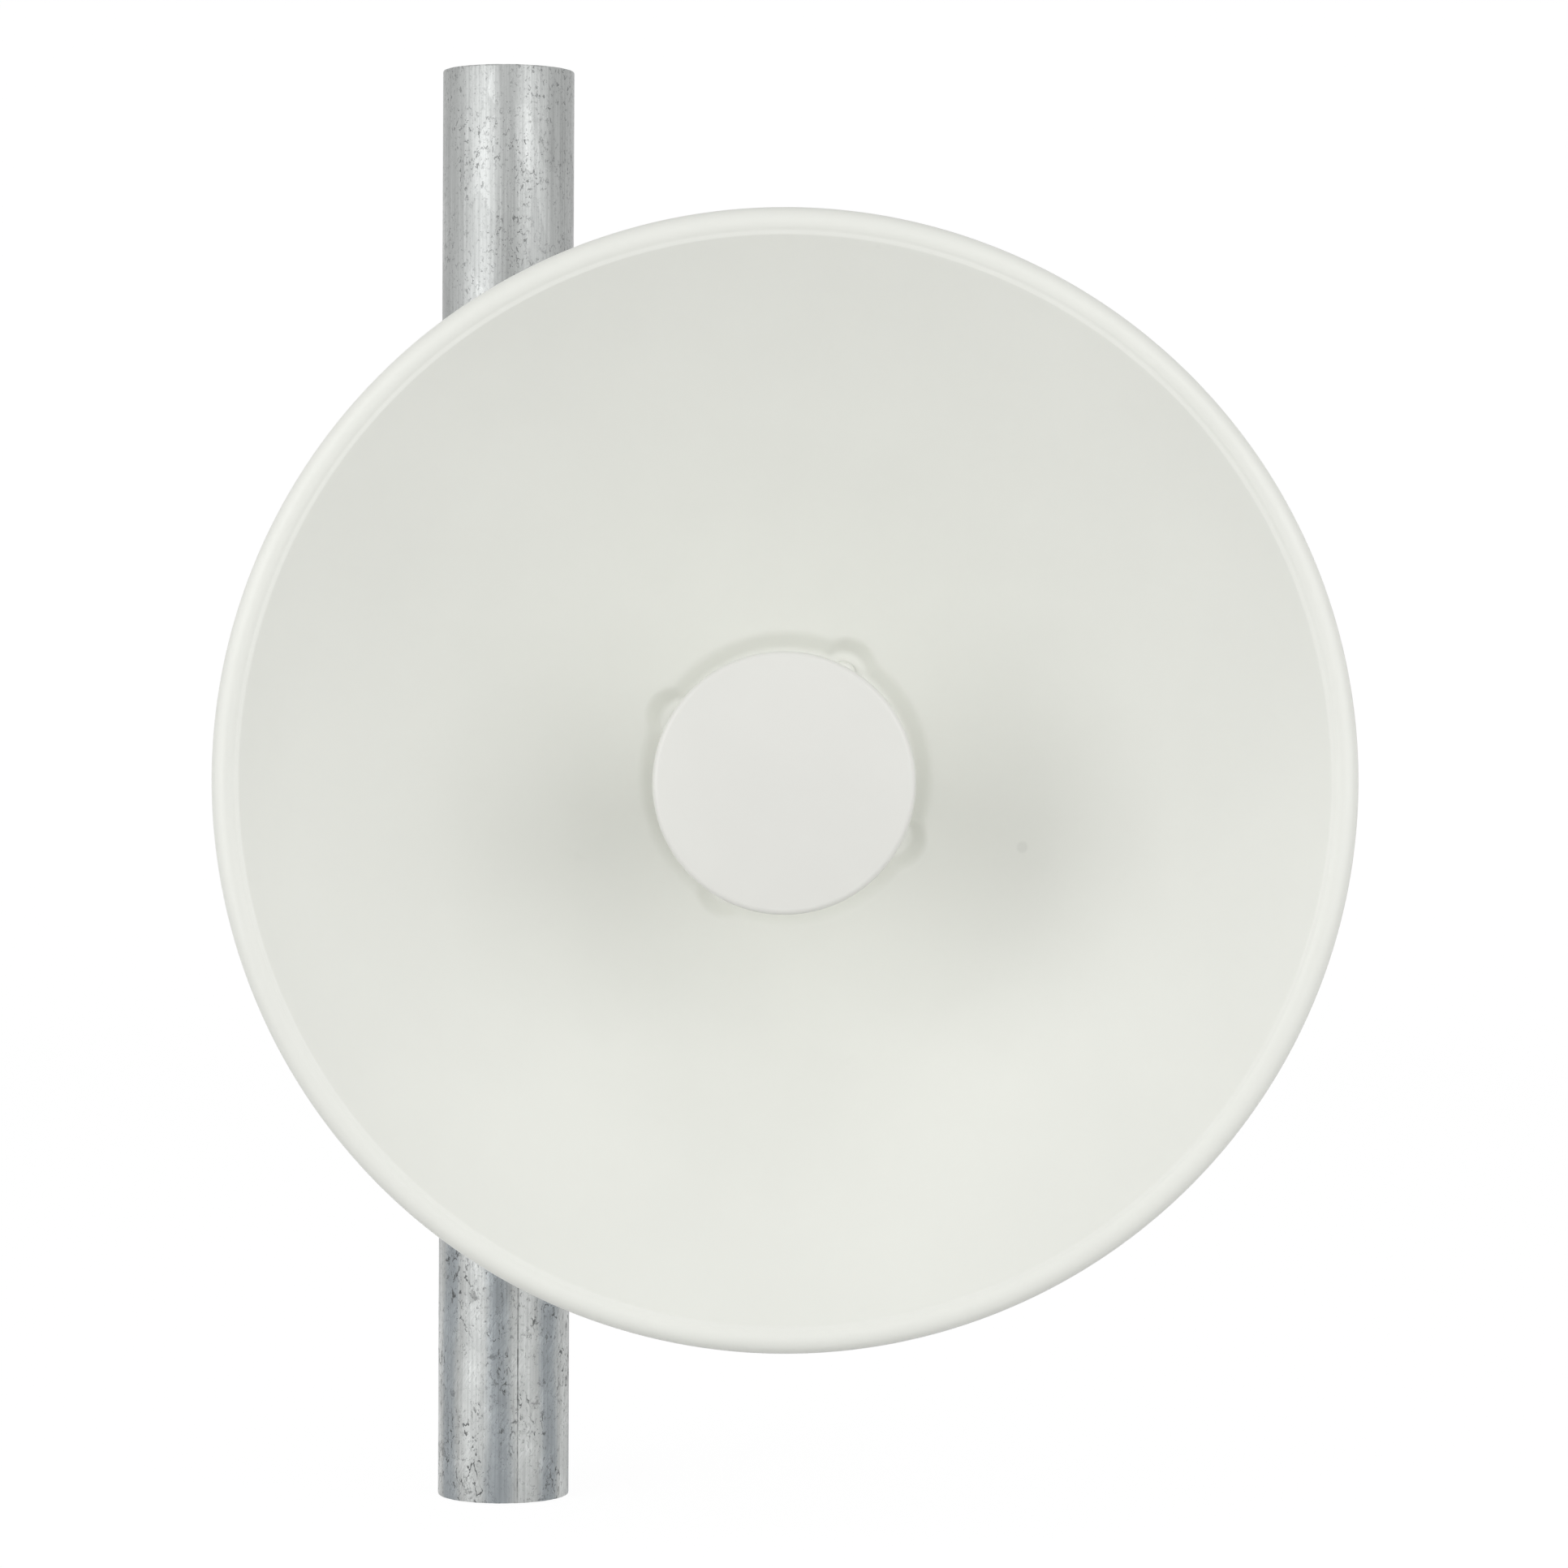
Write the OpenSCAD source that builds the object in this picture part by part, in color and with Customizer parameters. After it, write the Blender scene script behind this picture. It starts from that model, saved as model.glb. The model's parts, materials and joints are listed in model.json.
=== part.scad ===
// Parabolic dish antenna with a radio housing on its back, held on a galvanised
// mast tube by a toothed clamp that sets azimuth and a slotted knuckle that sets elevation.
// Millimetres, +Z up, the dish looks along -Y. Origin: centre of the mast tube's foot.

/* [Mast] */
// Outside diameter of the mast tube
mast_od = 60.3; // [48:0.1:76]
// Wall thickness of the mast tube
mast_wall = 3.9; // [2:0.1:6]
// Length of the mast tube
mast_len = 656; // [600:1:1200]
// Height of the clamp's middle, which is the dish's height too, above the mast's foot
clamp_z = 335; // [260:0.5:500]

/* [Reflector] */
// Radius of the parabolic surface, inside the rim
bowl_r = 224.5; // [180:0.5:320]
// Focal length of the paraboloid
focal = 122; // [110:1:170]
// Thickness of the pressed sheet
sheet_t = 2; // [1:0.1:3]
// Radius of the rolled rim bead
lip_r = 6; // [4:0.5:9]
// Depth of the skirt behind the rim bead
lip_skirt = 6; // [3:0.5:12]
// Width of the narrow land between the paraboloid and the rim bead
land_w = 1.8; // [1:0.1:4]
// Radius of the flat seat pressed into the middle
seat_r = 55.7; // [54:0.1:60]
// Height of the seat above the paraboloid's vertex
seat_f = 1.5; // [0.5:0.1:3]
// Bolt circle diameter of the four screws in the seat's lobes
lobe_pcd = 102.2; // [98:0.2:104]
// Radius of each lobe's flat floor
lobe_r = 9.5; // [8:0.1:11]
// Slope of each lobe's wall
lobe_slope = 52; // [45:1:58]
// Angle of the first lobe from the horizontal
lobe_angle = 61.4; // [45:0.1:75]
// Distance of the dish's axis from the mast's axis, sideways
dish_x = 130.4; // [126:0.1:160]

/* [Feed] */
// Distance of the cap's front face from the vertex
feed_len = 128; // [110:1:170]
// Outside diameter of the feed cap
cap_d = 107.2; // [100:0.2:120]
// Depth of the feed cap's side wall
cap_depth = 23; // [18:0.5:30]
// Wall thickness of the cap and of the shroud
shell_t = 2.5; // [1.5:0.1:3]
// Outside diameter of the circular waveguide
guide_od = 44; // [40:0.5:46]
// Wall thickness of the circular waveguide
guide_wall = 2; // [1:0.1:3]

/* [Housing] */
// Width of the radio housing
case_w = 156; // [150:1:180]
// Height of the radio housing
case_h = 196; // [180:1:230]
// Corner radius of the radio housing
case_r = 24; // [16:1:30]
// Wall thickness of the radio housing
case_wall = 3; // [2.5:0.1:4]
// Depth of the front half
base_depth = 16; // [14:0.5:24]
// Depth of the rear half, from the joint to its rear wall
cover_depth = 29.5; // [28:0.5:40]
// Height of the cooling fins
fin_h = 5; // [3:0.5:8]
// Pitch of the cooling fins
fin_pitch = 10; // [8:0.5:15]
// Thickness of the flat gaskets
gasket_t = 1; // [0.6:0.1:2]

/* [Clamp and knuckle] */
// Half of the angle between the jaw's toothed edges
vee_half = 60; // [55:1:62]
// Pitch of the jaw's teeth
tooth_pitch = 4; // [3:0.5:5]
// Depth of the jaw's teeth
tooth_h = 1.5; // [1:0.1:2]
// Thickness of the clamp's steel plates
plate_t = 4; // [3:0.5:5]
// Length of the clamp bolts under the head
clamp_bolt_len = 140; // [130:5:180]
// Radius of the bracket's ears round the pivot
ear_r = 14; // [12:0.5:16]
// Distance of the pivot from the bracket's web
pivot_reach = 18; // [17:0.5:26]
// Radius of the elevation slot
slot_r = 31; // [30:0.5:36]
// Elevation to either side of level
tilt_range = 20; // [5:1:20]
// Thickness of the arm's web
arm_t = 4; // [3:0.5:6]
// Thickness of the arm's ears
arm_ear_t = 5; // [4:0.5:7]
// Width and height of the arm's pad on the housing
arm_pad = 104; // [98:1:110]
// Spacing of the four bolts between arm and housing
arm_bolt_pitch = 80; // [70:1:84]

/* [Hidden] */
$fn = 72;
cut = 1; // how far a cutting shape runs past the face it cuts

// Running, seating and sliding clearances
grip_gap = 0.25;  // toothed edge to mast
slide_gap = 0.3;  // ear to ear in the knuckle
seat_gap = 0.1;   // washer to moving ear, cap to shoulder
pin_gap = 0.08;   // hinge bolt in its bores
bolt_gap = 0.4;   // clearance holes
drop_in = 0.15;   // pieces that drop into a bore

// Fasteners: M8 clamp and knuckle, M6 arm, M5 dish, M4 feed, M3 housing
m8_r = 4;
m8_flats = 13;
m8_head = 5.3;
m8_nut = 6.5;
m8_lock_nut = 8;
m8_washer_r = 8;
m8_washer_t = 1.6;
m8_spring_r = 7;
m8_spring_t = 2;
thread_end = 2;
m6_r = 3;
m6_flats = 10;
m6_head = 4.5;
m6_washer_r = 6.5;
m6_washer_t = 1.6;
m6_depth = 10;
m5_r = 2.5;
m5_head_r = 5.2;
m5_head = 3.2;
m5_depth = 9;
m4_r = 2;
m4_head_r = 4;
m4_head = 2.6;
m3_r = 1.5;
m3_head_r = 2.9;
m3_head = 2;
tap_gap = 0.02;      // screw to the hole it is cut into
ring_wall = 4;       // metal left round a threaded hole
dome_ratio = 1.7;    // radius of a pan head's dome over the head's own
spring_slot = 1;     // opening in a spring washer

// Mast and clamp, from the mast outwards
mast_r = mast_od / 2;
jaw_r = mast_r + grip_gap;
vee_apex = jaw_r / sin(vee_half);
vee_back = 11;                    // metal behind the bottom of the vee
web_rear = vee_apex + vee_back;
web_front = web_rear + plate_t;
vee_end = 14;                     // the toothed flanges stop this far from the mast's centre plane
bolt_to_mast = 6;                 // space between clamp bolt and mast
clamp_bolt_x = mast_r + m8_r + bolt_to_mast;
head_gap = 0.9;                   // bolt head's corner to the bracket's ear
ear_in = clamp_bolt_x + m8_flats / sqrt(3) + head_gap;
ear_out = ear_in + plate_t;
web_half_h = 38;
flange_half_h = 34;
jaw_half_h = 22;
jaw_web_half_h = 26;
bracket_corner = 3;
jaw_corner = 8;

// Knuckle
pivot_y = -(web_front + pivot_reach);
lock_y = 8;                                  // lock bolt behind the pivot
lock_z = sqrt(slot_r * slot_r - lock_y * lock_y);
lock_angle = atan2(lock_z, lock_y);
lock_lug_r = 8;
sleeve_wall = 3;
arm_gap = 2;                                 // arm web to the bracket's round ears
arm_rear = pivot_y - ear_r - arm_gap;
arm_front = arm_rear - arm_t;
arm_in = ear_out + slide_gap;
arm_out = arm_in + arm_ear_t;
arm_ear_r = 16;
arm_half_h = 40;
neck_half_h = 34;
rib_h = 10;
rib_t = 4;
rib_z = 26;
slot_w = 2 * (m8_r + 0.3);
slot_rim = 9.5;
slot_spare = 0.5;                            // slot beyond the last elevation, in degrees
slot_steps = 16;
arm_corner = 6;
pad_corner = 14;
pad_hole_r = 18;                             // lightening hole between the four bolts
pad_margin = 8;                              // ribs stop short of the pad's edge
gusset_run = 12;                             // along the web, outside each ear
gusset_rise = 8;                             // along the ear
gusset_t = 3;

// Boresight positions, forward of the vertex
seat_back = seat_f - sheet_t;
base_front = seat_back - gasket_t;
base_back = base_front - base_depth;
cover_front = base_back - gasket_t;
cover_rear = cover_front - cover_depth;
boss_rear = cover_rear - fin_h - 1;
vertex_y = arm_front + boss_rear;
dish_z = clamp_z;

// Reflector
seat_edge = 2 * focal - sqrt(4 * focal * focal - 4 * focal * (seat_r - seat_f));
land_rise = 0.5;
lip_angle = 38;
land_end = [bowl_r + land_w, bowl(bowl_r) + land_rise];
lip_centre = land_end + lip_r * [sin(lip_angle), -cos(lip_angle)];
bowl_steps = 28;
dish_fn = 144;
lip_steps = 12;
dish_hole_r = guide_od / 2 + 2;
lobe_wall_h = 14;   // the lobes' walls are cut to the bowl from this height
lobe_reach = lobe_pcd / 2 + lobe_r + 25;
back_depth = 20;
rear_steps = 8;

// Feed
guide_r = guide_od / 2;
guide_bore = guide_r - guide_wall;
flange_t = 3;
flange_r = 42;
feed_pcd_r = 35.5;
guide_flange_t = 4;
guide_flange_r = 41;
guide_depth = 32;  // the waveguide stops this far behind the cap's face
guide_end = feed_len - guide_depth;
cap_r = cap_d / 2;
cap_in = cap_r - shell_t;
cap_rear = feed_len - cap_depth;
cap_round = 2.5;
crown = 0.8;       // rise of the cap's face from its edge to its middle
crown_steps = 6;
lip_in = cap_in - 0.3 - shell_t;
lip_top = cap_rear + 5;
seal_groove = [2, 4]; // the cap seal's groove, from and to, ahead of the cap's rear edge
stem_base_r = 28;
stem_top_r = 26.5;
stem_top = cap_rear - 17;
plate_depth = 10;  // and the splash plate starts this far behind it
plate_rear = feed_len - plate_depth;
cone_root = 1;     // the cone starts this much inside the waveguide's wall
cone_rim = 2;      // and ends this much inside the splash plate's edge
splash_r = 47;
splash_t = 3;
boss_top_r = 8;  // boss in the middle of the splash plate
boss_base_r = 14;
boss_h = 2;
plug_depth = 12;
ring_r = 0.78;
probe_r = 1.2;
probe_in = 8;      // reach into the waveguide
probe_out = 4;     // reach beyond its wall
backshort_step = 1.5;
probe_f = base_front - case_wall - guide_flange_t - 3.5;
guide_rear = probe_f - 4;
backshort_t = 3;

// Housing inside
board_front = guide_rear - backshort_t - 1;
board_t = 1.6;
board_rear = board_front - board_t;
board_inset = 18;  // board's edge to the case's outside
board_w = case_w - 2 * board_inset;
board_h = case_h - 2 * board_inset;
post_r = 3.5;
rim_screw_x = case_w / 2 - 11;
rim_screw_y = [case_h / 2 - 11, 42, -42, -(case_h / 2 - 11)];
rim_boss_r = 5.5;
rim_tap = 8;       // depth of the rim screws' holes in the front half
post_tap = 6;
post_inset = 8;
boss_in = 10;      // arm bolt bosses inside the rear half
post_x = board_w / 2 - post_inset;
post_y = board_h / 2 - post_inset;
cover_chamfer = 5;
cover_inner = cover_rear + case_wall + 1;
can_w = 50;
can_h = 40;
can_t = 5;
jack = [16, 16, 13.4];    // width, depth, height
jack_port = [12, 12, 7];  // its opening
jack_floor = 2.4;         // below the opening
switch = [8, 6, 13.4];
pad_t = 1;
fin_t = 2.4;
fin_half_len = case_h / 2 - 14;
fin_count = floor((case_w / 2 - 18) / fin_pitch);

// Ports in the housing's lower wall
port_f = cover_front - 13;
gland_x = -22;
reset_x = 8;
lens_x = [24, 32, 40];
vent_x = -46;
ground_x = 48;
ground_head_r = 4.5;
ground_depth = 9;
gland_r = 9.9;
gland_flats = 23;
gland_flange = 4;
gland_thread = 9;
gland_bore = 6.2;
seal_r = 8.4;
seal_bore = 3;
seal_len = 7.5;
nut_len = 14;
nut_taper = 3;
gland_in = 5;      // gland's thread inside the wall
locknut_t = 4;
seal_proud = 0.5;
seal_start = gland_flange + gland_thread + seal_proud - seal_len;
button_r = 3.9;
button_proud = 1;
button_collar = [1.3, 1.5]; // reach beyond the button and thickness
button_travel = 1;
button_in = (case_h - board_h) / 2 - button_travel - seat_gap;
lens_r = 1.5;
lens_in = 8;
lens_proud = 0.4;
vent_r = 6;
vent_neck = 3.9;
vent_h = 2;

function bowl(r) = r * r / (4 * focal);
function bowl_slope(r) = atan(r / (2 * focal));
function arc(centre, radius, from, to, steps) =
    [for (i = [0:steps]) let (a = from + (to - from) * i / steps) centre + radius * [cos(a), sin(a)]];
function reversed(list) = [for (i = [len(list) - 1:-1:0]) list[i]];

// Frames: the dish's own axis, the knuckle's pivot, and the wall with the ports
module boresight() {
    translate([dish_x, vertex_y, dish_z]) rotate([90, 0, 0]) children();
}
module plate_across(y, t) {
    translate([0, y, clamp_z]) rotate([90, 0, 0]) linear_extrude(t) children();
}
module plate_upright(x, t) {
    translate([x, pivot_y, clamp_z]) rotate([90, 0, 90]) linear_extrude(t) children();
}
module port(x) {
    boresight() translate([x, -case_h / 2, port_f]) rotate([90, 0, 0]) children();
}
module along_x(x, y, z) {
    translate([x, y, z]) rotate([0, 90, 0]) children();
}
module along_y(x, y, z) {
    translate([x, y, z]) rotate([-90, 0, 0]) children();
}
module both_sides() {
    for (side = [0, 1]) mirror([side, 0, 0]) children();
}

// Shared shapes
module rounded_rect(w, h, r) {
    square([w - 2 * r, h], center = true);
    square([w, h - 2 * r], center = true);
    for (x = [-1, 1], y = [-1, 1]) translate([x * (w / 2 - r), y * (h / 2 - r)]) circle(r);
}
module slab(w, h, r, from, to) {
    translate([0, 0, from]) linear_extrude(to - from) rounded_rect(w, h, r);
}
module ring(outer, inner, from, to) {
    translate([0, 0, from]) difference() {
        cylinder(r = outer, h = to - from);
        translate([0, 0, -cut]) cylinder(r = inner, h = to - from + 2 * cut);
    }
}
module post(r, from, to) {
    translate([0, 0, from]) cylinder(r = r, h = to - from);
}
module hole(r, from, to) {
    translate([0, 0, from - cut]) cylinder(r = r, h = to - from + 2 * cut);
}
module hex(flats, h) {
    cylinder(r = flats / sqrt(3), h = h, $fn = 6);
}
module hex_bolt(flats, head, r, length) {
    translate([0, 0, -head]) hex(flats, head);
    cylinder(r = r, h = length);
}
module hex_nut(flats, h, r) {
    difference() {
        hex(flats, h);
        translate([0, 0, -cut]) cylinder(r = r, h = h + 2 * cut);
    }
}
module pan_screw(head_r, head, r, length) {
    difference() {
        intersection() {
            cylinder(r = head_r, h = head);
            translate([0, 0, head - head_r * dome_ratio]) sphere(head_r * dome_ratio);
        }
        translate([0, 0, head * 0.45]) for (turn = [0, 90]) rotate(turn)
            translate([-head_r * 0.45, -head_r * 0.1, 0]) cube([head_r * 0.9, head_r * 0.2, head]);
    }
    translate([0, 0, -length]) cylinder(r = r, h = length);
}
// A slot bent round the origin, with round ends
module arc_slot(r, middle, half, w) {
    from = middle - half;
    to = middle + half;
    polygon(concat(
        arc([0, 0], r + w / 2, from, to, slot_steps),
        arc(r * [cos(to), sin(to)], w / 2, to + 10, to + 170, slot_steps / 2),
        arc([0, 0], r - w / 2, to, from, slot_steps),
        arc(r * [cos(from), sin(from)], w / 2, from + 190, from + 350, slot_steps / 2)));
}
module at_lobes() {
    for (i = [0:3]) rotate(lobe_angle + 90 * i) translate([lobe_pcd / 2, 0, 0]) children();
}
module at_feed_screws() {
    for (i = [0:3]) rotate(lobe_angle + 45 + 90 * i) translate([feed_pcd_r, 0, 0]) children();
}
module at_rim_screws() {
    for (x = [-1, 1], y = rim_screw_y) translate([x * rim_screw_x, y, 0]) children();
}
module at_posts() {
    for (x = [-1, 1], y = [-1, 1]) translate([x * post_x, y * post_y, 0]) children();
}
module at_arm_bolts() {
    for (x = [-1, 1], y = [-1, 1]) translate([x * arm_bolt_pitch / 2, y * arm_bolt_pitch / 2, 0]) children();
}

// ---- Mast ----
module mast_tube() color("silver")
    difference() {
        cylinder(r = mast_r, h = mast_len);
        translate([0, 0, -cut]) cylinder(r = mast_r - mast_wall, h = mast_len + 2 * cut);
    }

// ---- Clamp ----
// The free space between two toothed edges that open away from the web
module vee_space() {
    tooth_run = (web_rear - vee_end) / cos(vee_half);
    teeth = ceil(tooth_run / tooth_pitch);
    edge = [for (i = [0:teeth], step = [0, 1])
        let (s = (i + step / 2) * tooth_pitch)
        [s * sin(vee_half) + step * tooth_h * cos(vee_half),
         -vee_apex + s * cos(vee_half) - step * tooth_h * sin(vee_half)]];
    far = 2 * web_front;
    polygon(concat(edge, [[far, far], [-far, far]], [for (p = reversed(edge)) [-p[0], p[1]]]));
}
module toothed_flange(half_w) {
    linear_extrude(plate_t) difference() {
        translate([-half_w, -web_rear - plate_t / 2]) square([2 * half_w, web_rear + plate_t / 2 - vee_end]);
        vee_space();
    }
}
module bracket_ear() {
    difference() {
        union() {
            circle(ear_r);
            translate([0, -ear_r]) square([pivot_reach + plate_t, 2 * ear_r]);
            translate([lock_y, -web_half_h]) square([pivot_reach + plate_t - lock_y, 2 * web_half_h]);
            translate([lock_y, lock_z]) circle(lock_lug_r);
            translate([lock_y, -lock_z]) circle(lock_lug_r);
        }
        circle(m8_r + pin_gap);
        translate([lock_y, lock_z]) circle(m8_r + pin_gap);
    }
}
module clamp_holes() {
    both_sides() along_y(clamp_bolt_x, -web_front - cut, clamp_z)
        cylinder(r = m8_r + bolt_gap, h = plate_t + 2 * cut);
}
module pole_bracket() color("lightslategray") {
    difference() {
        plate_across(-web_rear, plate_t) rounded_rect(2 * ear_out, 2 * web_half_h, bracket_corner);
        clamp_holes();
    }
    for (z = [flange_half_h - plate_t, -flange_half_h]) translate([0, 0, clamp_z + z]) toothed_flange(ear_in);
    both_sides() plate_upright(ear_in, plate_t) bracket_ear();
}
module clamp_bolts() color("gainsboro")
    both_sides() along_y(clamp_bolt_x, -web_front, clamp_z) hex_bolt(m8_flats, m8_head, m8_r, clamp_bolt_len);
module clamp_jaw() color("lightslategray")
    mirror([0, 1, 0]) {
        difference() {
            plate_across(-web_rear, plate_t) rounded_rect(2 * ear_out, 2 * jaw_web_half_h, jaw_corner);
            clamp_holes();
        }
        for (z = [jaw_half_h - plate_t, -jaw_half_h]) translate([0, 0, clamp_z + z]) toothed_flange(ear_in);
    }
module clamp_washers() color("gainsboro")
    both_sides() along_y(clamp_bolt_x, web_front, clamp_z) ring(m8_washer_r, m8_r + drop_in, 0, m8_washer_t);
module clamp_spring_washers() color("gray")
    both_sides() along_y(clamp_bolt_x, web_front + m8_washer_t, clamp_z) difference() {
        ring(m8_spring_r, m8_r + drop_in, 0, m8_spring_t);
        translate([m8_r - cut, -spring_slot / 2, -cut])
            cube([m8_spring_r, spring_slot, m8_spring_t + 2 * cut]);
    }
module clamp_nuts() color("gainsboro")
    both_sides() along_y(clamp_bolt_x, web_front + m8_washer_t + m8_spring_t, clamp_z)
        hex_nut(m8_flats, m8_nut, m8_r + drop_in);

// ---- Knuckle ----
module at_knuckle_bolts() {
    for (p = [[0, 0], [lock_y, lock_z]]) translate([0, pivot_y + p[0], clamp_z + p[1]]) children();
}
knuckle_face = arm_out + seat_gap;
knuckle_bolt_len = 2 * (knuckle_face + m8_washer_t) + m8_lock_nut + thread_end;
module knuckle_bolt() {
    along_x(-knuckle_face - m8_washer_t, 0, 0) hex_bolt(m8_flats, m8_head, m8_r, knuckle_bolt_len);
}
module pivot_bolt() color("gainsboro") translate([0, pivot_y, clamp_z]) knuckle_bolt();
module lock_bolt() color("gainsboro") translate([0, pivot_y + lock_y, clamp_z + lock_z]) knuckle_bolt();
module pivot_sleeve() color("silver")
    along_x(-ear_in, pivot_y, clamp_z) ring(m8_r + sleeve_wall, m8_r + drop_in, 0, 2 * ear_in);
module knuckle_washers() color("gainsboro") at_knuckle_bolts() both_sides()
    along_x(knuckle_face, 0, 0) ring(m8_washer_r, m8_r + drop_in, 0, m8_washer_t);
module knuckle_nuts() color("gainsboro") at_knuckle_bolts()
    along_x(knuckle_face + m8_washer_t, 0, 0) hex_nut(m8_flats, m8_lock_nut, m8_r + drop_in);

module arm_ear() {
    slot_half = tilt_range + slot_spare;
    difference() {
        union() {
            circle(arm_ear_r);
            translate([arm_rear - pivot_y - arm_t / 2, -arm_ear_r])
                square([ear_r + arm_gap + arm_t / 2, 2 * arm_ear_r]);
            arc_slot(slot_r, lock_angle, slot_half, 2 * slot_rim);
            rotate(lock_angle) translate([0, -slot_rim]) square([slot_r, 2 * slot_rim]);
            translate([arm_rear - pivot_y - arm_t / 2, 0]) square([ear_r + arm_gap, slot_r + 4]);
        }
        circle(m8_r + pin_gap);
        arc_slot(slot_r, lock_angle, slot_half, slot_w);
    }
}
module arm_outline() {
    difference() {
        union() {
            rounded_rect(2 * arm_out, 2 * arm_half_h, arm_corner);
            translate([0, -neck_half_h]) square([dish_x, 2 * neck_half_h]);
            translate([dish_x, 0]) rounded_rect(arm_pad, arm_pad, pad_corner);
        }
        translate([dish_x, 0]) {
            circle(pad_hole_r);
            at_arm_bolts() circle(m6_r + bolt_gap);
        }
    }
}
module tilt_arm() color("whitesmoke") {
    plate_across(arm_rear, arm_t) arm_outline();
    both_sides() plate_upright(arm_in, arm_ear_t) arm_ear();
    rib_start = knuckle_face + m8_washer_t + m8_lock_nut + thread_end + 2;
    for (z = [-rib_z, rib_z])
        translate([rib_start, arm_rear - arm_t / 2, clamp_z + z - rib_t / 2])
            cube([dish_x + arm_pad / 2 - pad_margin - rib_start, rib_h + arm_t / 2, rib_t]);
    // stiffening edges on the housing pad
    for (z = [-arm_pad / 2, arm_pad / 2 - rib_t])
        translate([dish_x - arm_pad / 2 + pad_corner, arm_rear - arm_t / 2, clamp_z + z])
            cube([arm_pad - 2 * pad_corner, rib_h / 2 + arm_t / 2, rib_t]);
    // gussets between the web and the lower edge of each ear
    both_sides() translate([arm_out, arm_rear, clamp_z - arm_ear_r]) linear_extrude(gusset_t)
        polygon([[-arm_ear_t / 2, -arm_t / 2], [gusset_run, -arm_t / 2], [gusset_run, 0],
            [0, gusset_rise], [-arm_ear_t / 2, gusset_rise]]);
}
arm_bolt_face = boss_rear - arm_t - m6_washer_t;
module arm_bolts() color("gainsboro") boresight() at_arm_bolts()
    translate([0, 0, arm_bolt_face]) hex_bolt(m6_flats, m6_head, m6_r, m6_washer_t + arm_t + m6_depth);
module arm_washers() color("gainsboro") boresight() at_arm_bolts()
    ring(m6_washer_r, m6_r + drop_in, arm_bolt_face, boss_rear - arm_t);

// ---- Reflector ----
function offset_back(r) =
    [r + sheet_t * sin(bowl_slope(r)), bowl(r) - sheet_t * cos(bowl_slope(r))];
bowl_radii = [for (i = [0:bowl_steps]) seat_edge + (bowl_r - seat_edge) * i / bowl_steps];
module sheet_profile() {
    front = concat(
        [[dish_hole_r, seat_f], [seat_r, seat_f]],
        [for (r = bowl_radii) [r, bowl(r)]],
        arc(lip_centre, lip_r, 90 + lip_angle, 0, lip_steps),
        [[lip_centre[0] + lip_r, lip_centre[1] - lip_skirt]]);
    back = concat(
        [[dish_hole_r, seat_back], [seat_r + sheet_t * tan(22.5), seat_back]],
        [for (r = bowl_radii) offset_back(r)],
        arc(lip_centre, lip_r - sheet_t, 90 + lip_angle, 0, lip_steps),
        [[lip_centre[0] + lip_r - sheet_t, lip_centre[1] - lip_skirt]]);
    polygon(concat(front, reversed(back)));
}
// Everything behind the sheet's front face, round the seat
module behind_front() {
    radii = [for (i = [0:rear_steps]) seat_edge + (lobe_reach - seat_edge) * i / rear_steps];
    rotate_extrude() polygon(concat(
        [[0, -back_depth], [0, seat_f], [seat_r, seat_f]],
        [for (r = radii) [r, bowl(r)]],
        [[lobe_reach, -back_depth]]));
}
// A lobe's cup, grown by the sheet's thickness for its back
module lobe_cup(grow) {
    base_r = lobe_r + grow * tan(lobe_slope / 2);
    translate([0, 0, seat_f - grow])
        cylinder(r1 = base_r, r2 = base_r + lobe_wall_h / tan(lobe_slope), h = lobe_wall_h);
}
module reflector_dish() color("ghostwhite") boresight()
    difference() {
        union() {
            rotate_extrude($fn = dish_fn) sheet_profile();
            intersection() {
                at_lobes() lobe_cup(sheet_t);
                behind_front();
            }
        }
        at_lobes() lobe_cup(0);
        at_lobes() hole(m5_r + bolt_gap, seat_back, seat_f);
        at_feed_screws() hole(m4_r + bolt_gap, seat_back, seat_f);
    }
module dish_gasket() color("dimgray") boresight()
    difference() {
        ring(flange_r + 2, dish_hole_r + 2, base_front, seat_back);
        at_feed_screws() hole(m4_r + bolt_gap, base_front, seat_back);
    }
module dish_screws() color("whitesmoke") boresight() at_lobes()
    translate([0, 0, seat_f]) pan_screw(m5_head_r, m5_head, m5_r, m5_depth + sheet_t);

// ---- Feed ----
module feed_shroud() color("whitesmoke") boresight()
    difference() {
        rotate_extrude() polygon([
            [dish_hole_r, seat_f], [flange_r, seat_f], [flange_r, seat_f + flange_t - 1],
            [flange_r - 1, seat_f + flange_t], [stem_base_r + 2, seat_f + flange_t],
            [stem_base_r, seat_f + flange_t + 3], [stem_top_r, stem_top],
            [lip_in + shell_t, cap_rear - 1],
            [lip_in + shell_t, cap_rear + seal_groove[0]], [cap_in - 2 * ring_r, cap_rear + seal_groove[0]],
            [cap_in - 2 * ring_r, cap_rear + seal_groove[1]], [lip_in + shell_t, cap_rear + seal_groove[1]],
            [lip_in + shell_t, lip_top], [lip_in, lip_top],
            [lip_in, cap_rear], [stem_top_r - shell_t, stem_top + 1],
            [stem_base_r - shell_t, seat_f + flange_t + 3], [dish_hole_r, seat_f + flange_t]
        ]);
        at_feed_screws() hole(m4_r + bolt_gap, seat_f, seat_f + flange_t);
    }
module feed_screws() color("gainsboro") boresight() at_feed_screws()
    translate([0, 0, seat_f + flange_t])
        pan_screw(m4_head_r, m4_head, m4_r, flange_t + sheet_t + gasket_t + case_wall + guide_flange_t);
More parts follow.
